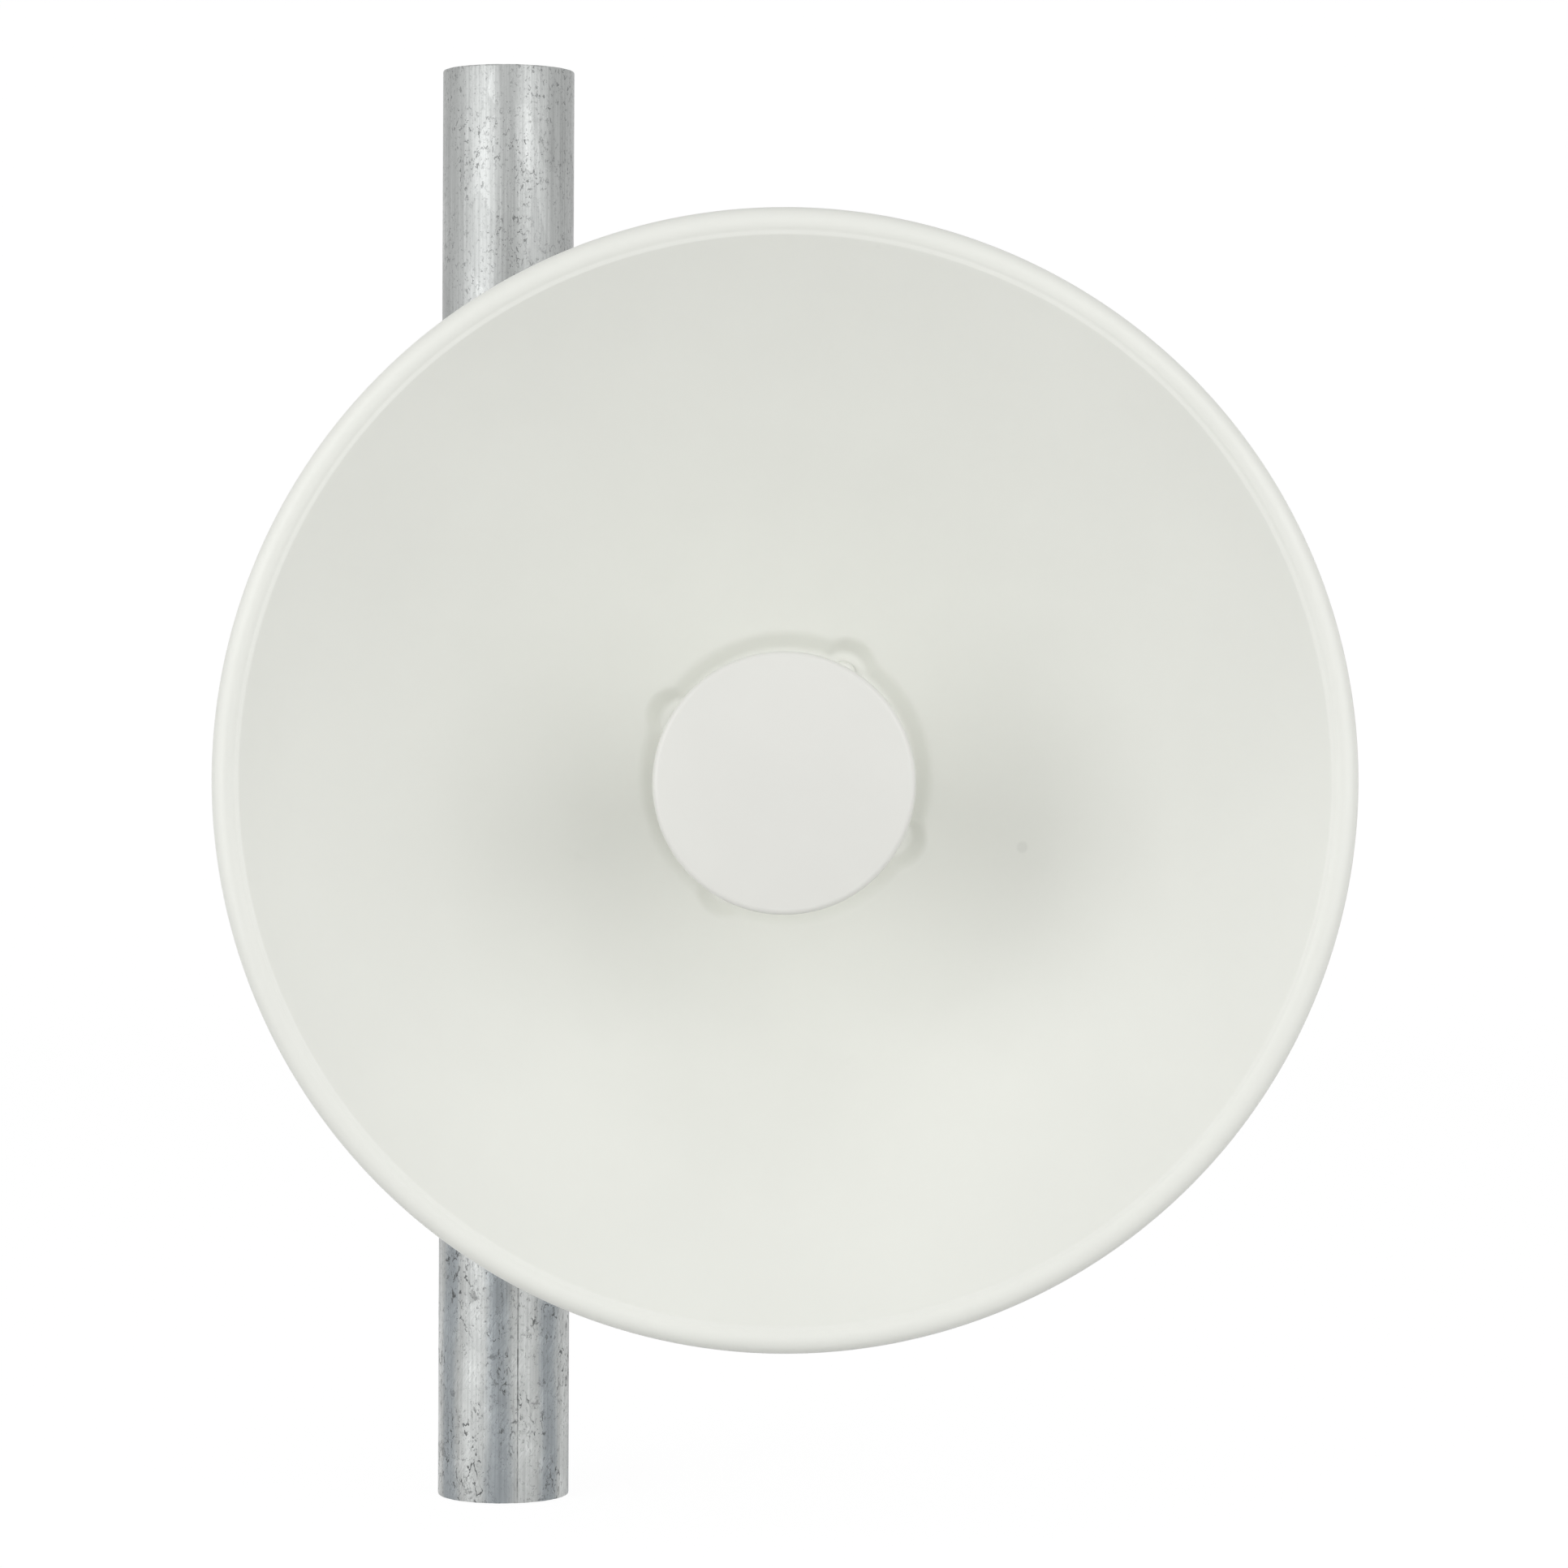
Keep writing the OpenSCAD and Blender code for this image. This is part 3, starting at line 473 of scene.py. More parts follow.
    def set(self, **values):
        for key, value in values.items():
            self.shader.inputs[key.replace("_", " ")].default_value = value


def srgb(r, g, b):
    """A colour in 0 to 255 as Blender's linear colour."""
    return tuple((c / 255 / 12.92) if c <= 10 else ((c / 255 + 0.055) / 1.055) ** 2.4 for c in (r, g, b))


def powder_coat(name, colour, roughness=0.36, peel=0.05 * MM, grime=0.5):
    """Baked paint: orange peel, faint cloudiness, a little grime and settled dust."""
    paint = Paint(name, colour, roughness)
    tint = paint.clouded(colour, 9, 3)
    dirt = paint.product(paint.span(paint.noise(38, 6, 0.7), 0.62, 0.86), 0.12 * grime)
    specks = paint.span(paint.cells(420).outputs["Distance"], 0.035, 0.06, 1.0, 0.0)
    rare = paint.span(paint.noise(60, 1), 0.6, 0.64)
    specks = paint.product(specks, rare, 0.35 * grime)
    spot_cells = paint.cells(17)
    chosen = paint.channels(spot_cells.outputs["Color"])
    spots = paint.span(spot_cells.outputs["Distance"], 0.03, 0.055, 1.0, 0.0)
    spots = paint.product(spots, paint.span(chosen["Red"], 0.72, 0.9, 0.0, 0.16))
    paint.colour(paint.blend(paint.strongest(dirt, spots, specks), tint, tuple(c * 0.55 for c in colour)))
    paint.roughness(paint.span(paint.noise(24, 4, 0.6), 0.3, 0.7, roughness - 0.05, roughness + 0.07))
    paint.bump(paint.noise(520, 2, 0.45), peel, 0.35)
    paint.set(Specular_IOR_Level=0.45)
    return paint.material


def moulded_plastic(name, colour, roughness=0.4, grain=1400, depth=0.02 * MM, scatter=0.0):
    """Moulded plastic: a fine spark-eroded grain and uneven gloss."""
    paint = Paint(name, colour, roughness)
    paint.colour(paint.clouded(colour, 14, 2))
    paint.roughness(paint.span(paint.noise(45, 5, 0.6), 0.3, 0.7, roughness - 0.04, roughness + 0.06))
    paint.bump(paint.noise(grain, 2), depth, 0.3)
    if scatter:
        paint.set(Subsurface_Weight=scatter, Subsurface_Scale=0.002)
    return paint.material


def galvanised(name, colour, roughness=0.4):
    """Hot-dip zinc on plate: spangle, drawn streaks, dark crackle and pits, long scratches."""
    paint = Paint(name, colour, roughness, 0.8)
    spangle = paint.channels(paint.cells(75, where=paint.stretched(0.6, 1, 1)).outputs["Color"])
    drawn = paint.noise(1, 5, 0.62, paint.stretched(5, 330, 330))
    tone = paint.product(paint.span(spangle["Red"], 0, 1, 0.94, 1.06, smooth=False),
                         paint.span(drawn, 0.3, 0.72, 0.86, 1.1),
                         paint.span(paint.noise(22, 4, 0.6), 0.3, 0.72, 0.92, 1.05))
    patch = paint.span(paint.noise(38, 4, 0.65), 0.42, 0.6)
    crackle = paint.cracks(paint.warped(paint.where, 420, 0.0015), 330, 0.07, 0.5)
    pits = paint.span(paint.noise(420, 5, 0.7), 0.6, 0.66)
    scratch = paint.span(paint.noise(1, 2, 0.5, paint.stretched(9, 900, 900)), 0.69, 0.73)
    marks = paint.strongest(paint.product(crackle, patch, 0.5), paint.product(pits, patch, 0.4),
                            paint.product(scratch, 0.2))
    paint.zinc(colour, tone, marks, paint.span(spangle["Green"], 0, 1, roughness - 0.05, roughness + 0.06))
    waves = paint.bump(paint.noise(300, 4, 0.6), 0.06 * MM, 0.5)
    paint.bump(paint.maths("SUBTRACT", 1.0, marks), 0.08 * MM, 0.5, under=waves)
    return paint.material


def galvanised_tube(name, colour, seam):
    """Zinc on a drawn tube with a weld seam: fine crackle, and lower down worm-like pits, stains, strokes, and
    painted light and dark reflection bands, tinted blue in the dark ones.
    """
    paint = Paint(name, colour, 0.36, 0.85)
    place = paint.node("ShaderNodeSeparateXYZ")
    paint.link(paint.where, place.inputs[0])
    x, y, z = (place.outputs[axis] for axis in "XYZ")
    around = paint.product(paint.maths("ARCTAN2", x, paint.product(y, -1)), MAST_R)
    unrolled = paint.node("ShaderNodeCombineXYZ")
    paint.link(around, unrolled.inputs[0])
    paint.link(z, unrolled.inputs[1])
    skin = unrolled.outputs[0]
    # The lower part of the tube: its real wear, and also where the painted reflection bands are laid into the
    # colour.
    wear_and_bands = paint.span(z, WEAR_AND_BANDS_BELOW, PLAIN_ABOVE, 1.0, 0.0)

    def streaks(across, along, low, high, turn=0, detail=4):
        lines = paint.noise(1, detail, 0.6, paint.stretched(across, along, 1, turn, skin))
        return paint.span(lines, 0.3, 0.7, low, high)

    def drawn(share):
        """The skin with its marks drawn out along the tube; the smaller the share, the longer they are."""
        return paint.stretched(1, share, 1, 0, skin)

    spangle = paint.channels(paint.cells(80, where=drawn(0.45)).outputs["Color"])
    tone = paint.product(streaks(900, 14, 0.86, 1.08), streaks(170, 6, 0.92, 1.05),
                         paint.span(spangle["Red"], 0, 1, 0.95, 1.05, smooth=False))

    strokes = streaks(1300, 130, 0.0, 1.0, turn=-32, detail=2)
    patchy = paint.span(paint.noise(45, 3, 0.6, skin), 0.4, 0.62)
    brushed = paint.product(strokes, patchy, wear_and_bands)
    tone = paint.product(tone, paint.span(brushed, 0, 1, 0.97, 1.2, smooth=False))
    stain = paint.span(paint.noise(70, 5, 0.7, paint.warped(skin, 200, 0.004)), 0.6, 0.66, 0.0, 0.4)
    tone = paint.product(tone, paint.maths("SUBTRACT", 1.0, paint.product(stain, wear_and_bands)))

    crackle = paint.cracks(paint.warped(drawn(0.6), 600, 0.0035), 430, 0.15, 0.54)
    mottle = paint.span(paint.noise(640, 4, 0.72, drawn(0.6)), 0.55, 0.68, 0.0, 0.6)
    dense = paint.span(paint.noise(60, 3, 0.6, drawn(0.5)), 0.35, 0.6, 0.3, 1.0)
    crackle = paint.product(paint.strongest(crackle, mottle), dense, 0.62)
    worms = paint.cracks(paint.warped(drawn(0.5), 500, 0.003), 300, 0.1, 0.5)
    clusters = paint.span(paint.noise(55, 3, 0.65, drawn(0.45)), 0.48, 0.56)
    worms = paint.product(worms, clusters, paint.span(wear_and_bands, 0, 1, 0.1, 0.9))
    pits = paint.span(paint.noise(520, 4, 0.7, skin), 0.64, 0.69, 0.0, 0.55)
    nicks = paint.cells(55, where=paint.warped(skin, 600, 0.004))
    nicks = paint.product(paint.span(nicks.outputs["Distance"], 0.05, 0.08, 0.7, 0.0),
                          paint.span(paint.channels(nicks.outputs["Color"])["Blue"], 0.55, 0.6))
    from_seam = paint.maths("ABSOLUTE", paint.maths("SUBTRACT", around, seam * MAST_R))
    line = paint.product(paint.span(from_seam, 0.2 * MM, 0.45 * MM, 1.0, 0.0), streaks(60, 120, 0.1, 0.9),
                         paint.span(wear_and_bands, 0, 1, 0.12, 1.0))
    marks = paint.strongest(crackle, worms, pits, nicks, line)

    # Painted reflection: light and dark bands round the lower tube, laid into its colour by angle as painted
    # highlights and painted shade, with the dark bands tinted blue.
    wobble = paint.span(paint.noise(1, 2, 0.5, paint.stretched(40, 12, 1, 0, skin)), 0.3, 0.7, 0.012, 0.016)
    painted_bands = paint.maths("COSINE", paint.product(paint.maths("ADD", around, wobble), TAU / PAINTED_BAND_SPACING))
    tone = paint.product(tone, paint.maths("ADD", 1.0, paint.product(painted_bands, wear_and_bands, 0.24)))
    dark_band_blue = paint.product(wear_and_bands, paint.span(painted_bands, -1, 0.4, 1.0, 0.0))
    tinted = paint.blend(dark_band_blue, colour, (colour[0] * 0.93, colour[1] * 0.98, colour[2] * 1.04))
    paint.zinc(tinted, tone, marks, paint.span(spangle["Green"], 0, 1, 0.32, 0.43))
    waves = paint.bump(paint.noise(1000, 4, 0.7, drawn(0.6)), 0.05 * MM, 0.6)
    waves = paint.bump(brushed, 0.03 * MM, 0.5, under=waves)
    paint.bump(paint.maths("SUBTRACT", 1.0, marks), 0.09 * MM, 0.7, under=waves)
    return paint.material


def turned_steel(name, colour, roughness=0.3):
    """Bright fastener steel: fine turning lines, smudges and small nicks."""
    paint = Paint(name, colour, roughness, 1.0)
    smudge = paint.span(paint.noise(90, 4, 0.6), 0.35, 0.7)
    paint.colour(paint.blend(smudge, colour, tuple(c * 0.82 for c in colour)))
    paint.roughness(paint.span(paint.noise(200, 5, 0.65), 0.3, 0.75, roughness - 0.06, roughness + 0.14))
    paint.bump(paint.noise(1, 3, 0.5, paint.stretched(1500, 1500, 1500)), 0.015 * MM, 0.35)
    return paint.material


def rubber(name, colour):
    """Rubber or soft pad: dull, with a pale bloom."""
    paint = Paint(name, colour, 0.75)
    bloom = paint.span(paint.noise(120, 5, 0.7), 0.45, 0.8)
    paint.colour(paint.blend(bloom, colour, tuple(c + 0.03 for c in colour)))
    paint.bump(paint.noise(900, 3), 0.03 * MM, 0.4)
    return paint.material


def laminate(name, colour):
    """Circuit board: solder mask over faint traces."""
    paint = Paint(name, colour, 0.35)
    bricks = paint.node("ShaderNodeTexBrick")
    bricks.inputs["Scale"].default_value = 140
    bricks.inputs["Mortar Size"].default_value = 0.03
    paint.link(paint.where, bricks.inputs["Vector"])
    paint.colour(paint.blend(bricks.outputs["Fac"], colour, tuple(c * 1.8 for c in colour)))
    return paint.material


LOOKS = {  # of each slot: builder, colour, details
    "galvanised_tube": (galvanised_tube, (173, 175, 174), {"seam": SEAM_ANGLE}),
    "galvanised_plate": (galvanised, (176, 179, 180), {"roughness": 0.42}),
    "stainless": (turned_steel, (196, 194, 190), {}),
    "arm_paint": (powder_coat, (222, 223, 218), {"roughness": 0.42, "grime": 1.0}),
    "dish_paint": (powder_coat, (231, 232, 226), {}),
    "housing_paint": (powder_coat, (224, 225, 221), {"roughness": 0.45, "peel": 0.09 * MM, "grime": 0.8}),
    "cap_plastic": (moulded_plastic, (224, 224, 219), {"roughness": 0.34, "grain": 500, "depth": 0.003 * MM}),
    "shroud_plastic": (moulded_plastic, (226, 227, 221), {"roughness": 0.5, "scatter": 0.03}),
    "dielectric": (moulded_plastic, (238, 238, 234), {"roughness": 0.55, "scatter": 0.1}),
    "bare_aluminium": (turned_steel, (214, 215, 217), {"roughness": 0.34}),
    "brass": (turned_steel, (214, 182, 110), {"roughness": 0.3}),
    "seal_rubber": (rubber, (46, 46, 47), {}),
    "dark_plastic": (moulded_plastic, (58, 60, 62), {"roughness": 0.5, "depth": 0.04 * MM}),
    "button_plastic": (moulded_plastic, (60, 60, 62), {"roughness": 0.45}),
    "board": (laminate, (24, 92, 52), {}),
    "tinned_steel": (turned_steel, (206, 206, 202), {"roughness": 0.38}),
    "thermal_pad": (rubber, (150, 166, 186), {}),
    "lens": (moulded_plastic, (206, 222, 206), {"roughness": 0.12, "scatter": 0.2}),
}
MATERIALS = {name: build(name, srgb(*colour), **details)
             for name, (build, colour, details) in LOOKS.items()}


def dress_cad_nodes():
    """Every node gets its slot's material, also those that a finer piece stands for."""
    for part in frame["record"]["subparts"]:
        mesh = frame["nodes"][part["node"]].data
        mesh.materials.clear()
        mesh.materials.append(MATERIALS[part["material_slot"]])
        mesh.shade_smooth()
        mesh.set_sharp_from_angle(angle=math.radians(35))


# ---- Mast ----

def mast():
    """The tube, with a drawn seam along it and ends as a saw leaves them."""
    wall = 3.9 * MM
    inner = MAST_R - wall
    seam_half = 0.35 * MM / MAST_R
    angles = [TAU * j / 180 for j in range(180)]
    seam_at = SEAM_ANGLE - math.pi / 2
    angles = sorted(angles + [(seam_at + k * seam_half) % TAU for k in (-2, -1, -0.5, 0, 0.5, 1, 2)])
    edge = 0.5 * MM

    def ring(radius, z, seam=0.0, rough=0.0):
        row = []
        for a in angles:
            off = abs((a - seam_at + math.pi) % TAU - math.pi) / seam_half
            r = radius - seam * max(0.0, 1 - off)
            ragged = rough * (math.sin(17 * a) + math.sin(41 * a + 1.3) + 0.6 * math.sin(97 * a + 0.4))
            row.append((r * math.cos(a), r * math.sin(a), z + ragged))
        return row

    groove = 0.1 * MM
    burr = 0.02 * MM
    saw_cut = 0.1 * MM
    rows = [ring(inner, edge), ring(inner + edge * 0.4, saw_cut, rough=burr),
            ring(MAST_R - edge * 0.5, saw_cut, rough=burr), ring(MAST_R - 0.1 * MM, edge * 0.5, groove),
            ring(MAST_R, edge * 1.6, groove)]
    rows += [ring(MAST_R, MAST_LEN * i / 24, groove * max(0.1, 1 - i / 12)) for i in range(1, 24)]
    rows += [ring(MAST_R, MAST_LEN - edge * 1.6), ring(MAST_R - 0.1 * MM, MAST_LEN - edge * 0.5),
             ring(MAST_R - edge * 0.5, MAST_LEN - saw_cut, rough=burr),
             ring(inner + edge * 0.4, MAST_LEN - saw_cut, rough=burr), ring(inner, MAST_LEN - edge)]
    piece("mast_skin", grid(rows), "mast", "galvanised_tube", ["mast_tube"])


# ---- Reflector ----

FOCAL = 122 * MM
SHEET = 2 * MM
BOWL_R = 224.5 * MM
LAND = 1.8 * MM
LAND_RISE = 0.5 * MM
BEAD_R = 6 * MM
BEAD_ANGLE = 38
SKIRT = 6 * MM
SEAT_R = 55.7 * MM
SEAT_F = 1.5 * MM
LOBE_BOLT_R = 51.1 * MM
LOBE_R = 9.5 * MM
LOBE_SLOPE = math.tan(math.radians(52))
LOBE_ANGLES = [math.radians(61.4 + 90 * i) for i in range(4)]
HOLE_R = 24 * MM
PRESS_R = 1.6 * MM  # how softly the press rounds the seat's edges
PRESSED_R = 78 * MM  # past this the sheet is the plain bowl
STEEPEST = 1.2  # the square of the slope past which the sheet's back stops moving away


def bowl(r):
    return r * r / (4 * FOCAL)


def soft_min(a, b, k):
    h = np.maximum(k - np.abs(a - b), 0) / k
    return np.minimum(a, b) - h * h * k / 4


def soft_max(a, b, k):
    return -soft_min(-a, -b, k)


def seat_height(x, y):
    """Height of the pressed middle at points of the boresight plane: bowl, flat seat, four lobes."""
    r = np.hypot(x, y)
    wall = soft_max(SEAT_F, SEAT_F + (r - SEAT_R), PRESS_R)
    for a in LOBE_ANGLES:
        d = np.hypot(x - LOBE_BOLT_R * math.cos(a), y - LOBE_BOLT_R * math.sin(a))
        wall = soft_min(wall, soft_max(SEAT_F, SEAT_F + (d - LOBE_R) * LOBE_SLOPE, PRESS_R), PRESS_R)
    return soft_min(np.maximum(bowl(r), SEAT_F), wall, PRESS_R)


def reflector():
    """The pressed sheet: polar rows over the front, round the rim bead and back over the rear."""
    steps = 512
    turn = np.arange(steps) * TAU / steps
    cos, sin = np.cos(turn), np.sin(turn)
    inner = np.linspace(HOLE_R, PRESSED_R, 96)
    outer = np.linspace(PRESSED_R, BOWL_R - 0.4 * MM, 44)[1:]
    front, rear = [], []
    nudge = 0.05 * MM
    for r in inner:
        x, y = r * cos, r * sin
        z = seat_height(x, y)
        slope_x = (seat_height(x + nudge, y) - seat_height(x - nudge, y)) / (2 * nudge)
        slope_y = (seat_height(x, y + nudge) - seat_height(x, y - nudge)) / (2 * nudge)
        front.append((x, y, z))
        rear.append((x, y, z - SHEET * np.sqrt(1 + np.minimum(slope_x ** 2 + slope_y ** 2, STEEPEST))))
    for r in outer:
        rise = SHEET * math.hypot(1, r / (2 * FOCAL))
        front.append((r * cos, r * sin, np.full(steps, bowl(r))))
        rear.append((r * cos, r * sin, np.full(steps, bowl(r) - rise)))
    land_end = (BOWL_R + LAND, bowl(BOWL_R) + LAND_RISE)
    cx = land_end[0] + BEAD_R * math.sin(math.radians(BEAD_ANGLE))
    cz = land_end[1] - BEAD_R * math.cos(math.radians(BEAD_ANGLE))
    over = [(BOWL_R, bowl(BOWL_R)), (BOWL_R + 0.4 * MM, bowl(BOWL_R) + 0.13 * MM),
            (BOWL_R + LAND - 0.3 * MM, land_end[1] - 0.08 * MM)]
    over += arc(cx, cz, BEAD_R, 90 + BEAD_ANGLE, 0, 20)
    over += [(cx + BEAD_R, cz - SKIRT + 0.4 * MM), (cx + BEAD_R - 0.3 * MM, cz - SKIRT)]
    under = [(BOWL_R + 1.2 * MM, bowl(BOWL_R) - 1.5 * MM)]
    under += arc(cx, cz, BEAD_R - SHEET, 90 + BEAD_ANGLE, 0, 14)
    under += [(cx + BEAD_R - SHEET, cz - SKIRT + 0.4 * MM), (cx + BEAD_R - SHEET + 0.3 * MM, cz - SKIRT)]
    front += [(r * cos, r * sin, np.full(steps, z)) for r, z in over]
    rear += [(r * cos, r * sin, np.full(steps, z)) for r, z in under]
    rows = [list(zip(x, y, z)) for x, y, z in front + rear[::-1]]
    shape = grid(rows).placed(BORESIGHT)
    piece("reflector_skin", shape, "antenna_head", "dish_paint", ["reflector_dish"], 60)


def at_lobes(shape):
    return together(shape.placed(BORESIGHT @ Matrix.Translation(
        (LOBE_BOLT_R * math.cos(a), LOBE_BOLT_R * math.sin(a), SEAT_F))) for a in LOBE_ANGLES)


def dish_screws():
    heads = at_lobes(pan_head(5.2 * MM, 3.2 * MM, 2.2 * MM))
    piece("dish_screw_heads", heads, "antenna_head", "dish_paint", ["dish_screws"])


# ---- Feed ----

CAP_R = size("feed_cap").x / 2
CAP_FRONT = VERTEX_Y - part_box("feed_cap")[0].y
CAP_REAR = VERTEX_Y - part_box("feed_cap")[1].y
FLANGE = 3 * MM


def cap():
    """The feed's cap: a crowned face, a rounded edge and a straight side."""
    wall = 2.5 * MM
    crown = 1.6 * MM
    edge_r = 2.5 * MM
    face = [(CAP_R * 0.955 * i / 24, CAP_FRONT - crown * (i / 24) ** 2) for i in range(25)]
    edge = arc(CAP_R - edge_r, CAP_FRONT - crown - edge_r, edge_r, 84, 0, 10)
    side = [(CAP_R, CAP_FRONT - 8 * MM), (CAP_R, CAP_REAR + 0.4 * MM), (CAP_R - 0.3 * MM, CAP_REAR),
            (CAP_R - wall + 0.3 * MM, CAP_REAR), (CAP_R - wall, CAP_REAR + 0.4 * MM),
            (CAP_R - wall, CAP_FRONT - 5 * MM), (CAP_R - wall - 1 * MM, CAP_FRONT - 4 * MM),
            (0, CAP_FRONT - 3.2 * MM)]
    shell = lathe(face + edge + side, 192).placed(BORESIGHT)
    piece("cap_shell", shell, "antenna_head", "cap_plastic", ["feed_cap"], 50)


def shroud():
    """The feed's stem with its flange and flared mouth, all its edges filleted."""
    low = SEAT_F
    lip = CAP_R - 2.8 * MM
    wall = 2.5 * MM
    outline = filleted([
        (HOLE_R, low, 0), (42 * MM, low, 0), (42 * MM, low + FLANGE, 0.8 * MM),
        (31 * MM, low + FLANGE, 1.5 * MM), (28 * MM, low + 2 * FLANGE, 3 * MM),
        (26.5 * MM, CAP_REAR - 17 * MM, 6 * MM), (lip, CAP_REAR - 1 * MM, 0.8 * MM),
        (lip, CAP_REAR + 5 * MM, 0.3 * MM), (lip - wall, CAP_REAR + 5 * MM, 0.3 * MM),
        (lip - wall, CAP_REAR, 2 * MM), (24 * MM, CAP_REAR - 16 * MM, 6 * MM),
        (25.5 * MM, low + 2 * FLANGE, 0), (HOLE_R, low + FLANGE, 0)], 8)
    shell = lathe(outline, 160).placed(BORESIGHT)
    piece("shroud_shell", shell, "antenna_head", "shroud_plastic", ["feed_shroud"], 40)


def feed_screws():
    head = pan_head(4 * MM, 2.6 * MM, 1.7 * MM)
    circle_r = 35.5 * MM
    spots = [a + math.pi / 4 for a in LOBE_ANGLES]
    shape = together(head.placed(BORESIGHT @ Matrix.Translation(
        (circle_r * math.cos(a), circle_r * math.sin(a), SEAT_F + FLANGE))) for a in spots)
    piece("feed_screw_heads", shape, "antenna_head", "stainless", ["feed_screws"])


# ---- Clamp and knuckle ----

M8_FLATS = 13 * MM
M8_R = 4 * MM
M8_HEAD = 5.3 * MM
M8_PITCH = 1.25 * MM
M8_BORE = 4.15 * MM  # radius inside nuts and washers
M8_WASHER_R = 8 * MM


def m8_head():
    """A bolt's head from z 0 up, its chamfered side down."""
    return hex_prism(M8_FLATS, M8_HEAD).placed(
        Matrix.Translation((0, 0, M8_HEAD)) @ Matrix.Rotation(math.pi, 4, "X"))


def clamp_bolts():
    low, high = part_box("clamp_bolts")
    head_y = low.y
    shaft = high.y - head_y
    bolt = m8_head() + thread(M8_R, M8_PITCH, M8_HEAD, shaft)
    reach = (high.x - low.x) / 2 - M8_FLATS / math.sqrt(3)
    both = together(bolt.placed(along("+y", side * reach, head_y, CLAMP_Z)) for side in (-1, 1))
    piece("clamp_bolts_threaded", both, "pole_clamp", "stainless", ["clamp_bolts"])


def clamp_nuts():
    low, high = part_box("clamp_nuts")
    reach = (high.x - low.x) / 2 - M8_FLATS / math.sqrt(3)
    nut = hex_prism(M8_FLATS, high.y - low.y, M8_BORE, both_ends=True)
    both = together(nut.placed(along("+y", side * reach, low.y, CLAMP_Z)) for side in (-1, 1))
    piece("clamp_nuts_chamfered", both, "clamp_jaw_body", "stainless", ["clamp_nuts"])
    low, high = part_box("clamp_washers")
    flat = washer(M8_WASHER_R, M8_BORE, high.y - low.y)
    both = together(flat.placed(along("+y", side * reach, low.y, CLAMP_Z)) for side in (-1, 1))
    piece("clamp_washers_rounded", both, "clamp_jaw_body", "stainless", ["clamp_washers"])


def knuckle_hardware():
    low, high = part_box("pivot_bolt")
    length = high.x - low.x
    threaded = length - 14 * MM
    for name, at in (("pivot_bolt", PIVOT), ("lock_bolt", LOCK)):
        plain = lathe([(0, M8_HEAD), (M8_R, M8_HEAD), (M8_R, threaded), (0, threaded)], 48)
        bolt = m8_head() + plain + thread(M8_R, M8_PITCH, threaded, length)
        piece(name + "_turned", bolt.placed(along("+x", low.x, at.y, at.z)), "pole_clamp", "stainless", [name])
    low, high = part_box("knuckle_nuts")
    hexagon, nut = 5.6 * MM, 8 * MM
    body = hex_prism(M8_FLATS, hexagon, M8_BORE)
    collar = lathe(filleted([(M8_BORE, hexagon, 0), (6 * MM, 5.5 * MM, 0.3 * MM), (5.6 * MM, nut, 0.8 * MM),
                             (M8_BORE, nut, 0.4 * MM)], 5), 48)
    nuts = together((body + collar).placed(along("+x", low.x, at.y, at.z)) for at in (PIVOT, LOCK))
    piece("knuckle_lock_nuts", nuts, "pole_clamp", "stainless", ["knuckle_nuts"])
    low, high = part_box("knuckle_washers")
    flat = washer(M8_WASHER_R, M8_BORE, 1.6 * MM)
    rings = together(flat.placed(along(axis, x, at.y, at.z)) for at in (PIVOT, LOCK)
                     for axis, x in (("+x", low.x), ("-x", high.x)))
    piece("knuckle_washers_rounded", rings, "pole_clamp", "stainless", ["knuckle_washers"])


def arm_bolts():
    low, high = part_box("arm_bolts")
    flats, head_h = 10 * MM, 4.5 * MM
    mid = centre("arm_bolts")
    reach_x = (high.x - low.x) / 2 - flats / math.sqrt(3)
    reach_z = (high.z - low.z) / 2 - flats / 2
    head = hex_prism(flats, head_h)
    spots = [(mid.x + i * reach_x, mid.z + k * reach_z) for i in (-1, 1) for k in (-1, 1)]
    heads = together(head.placed(along("+y", x, high.y - head_h, z)) for x, z in spots)
    piece("arm_bolt_heads", heads, "antenna_head", "stainless", ["arm_bolts"])
    low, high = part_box("arm_washers")
    flat = washer(6.5 * MM, 3.15 * MM, high.y - low.y)
    rings = together(flat.placed(along("+y", x, low.y, z)) for x, z in spots)
    piece("arm_washers_rounded", rings, "antenna_head", "stainless", ["arm_washers"])


def tilt_scale():
    """Degree marks round the slot on the outer face of the right ear."""
    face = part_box("knuckle_washers")[1].x - 1.7 * MM
    start_r, half_width, thickness, spacing = 36.2 * MM, 0.18 * MM, 0.08 * MM, 5
    middle = math.degrees(math.atan2(LOCK.z - PIVOT.z, LOCK.y - PIVOT.y))
    shape = Shape()
    for step in range(-4, 5):
        a = math.radians(middle + spacing * step)
        long = 2.6 * MM if step % 2 == 0 else 1.6 * MM
        along_r = Vector((0, math.cos(a), math.sin(a)))
        across = Vector((0, -math.sin(a), math.cos(a))) * half_width
        base = Vector((face, PIVOT.y, PIVOT.z)) + along_r * start_r
        tip = base + along_r * long
        lift = Vector((thickness, 0, 0))
        corners = [base - across, base + across, tip + across, tip - across]
        sides = [(0, 1, 2, 3), (4, 5, 6, 7), (0, 1, 5, 4), (1, 2, 6, 5), (2, 3, 7, 6), (3, 0, 4, 7)]
        shape = shape + Shape(corners + [c + lift for c in corners], sides)
    piece("tilt_scale", shape, "antenna_head", "dark_plastic")


# ---- Ports ----

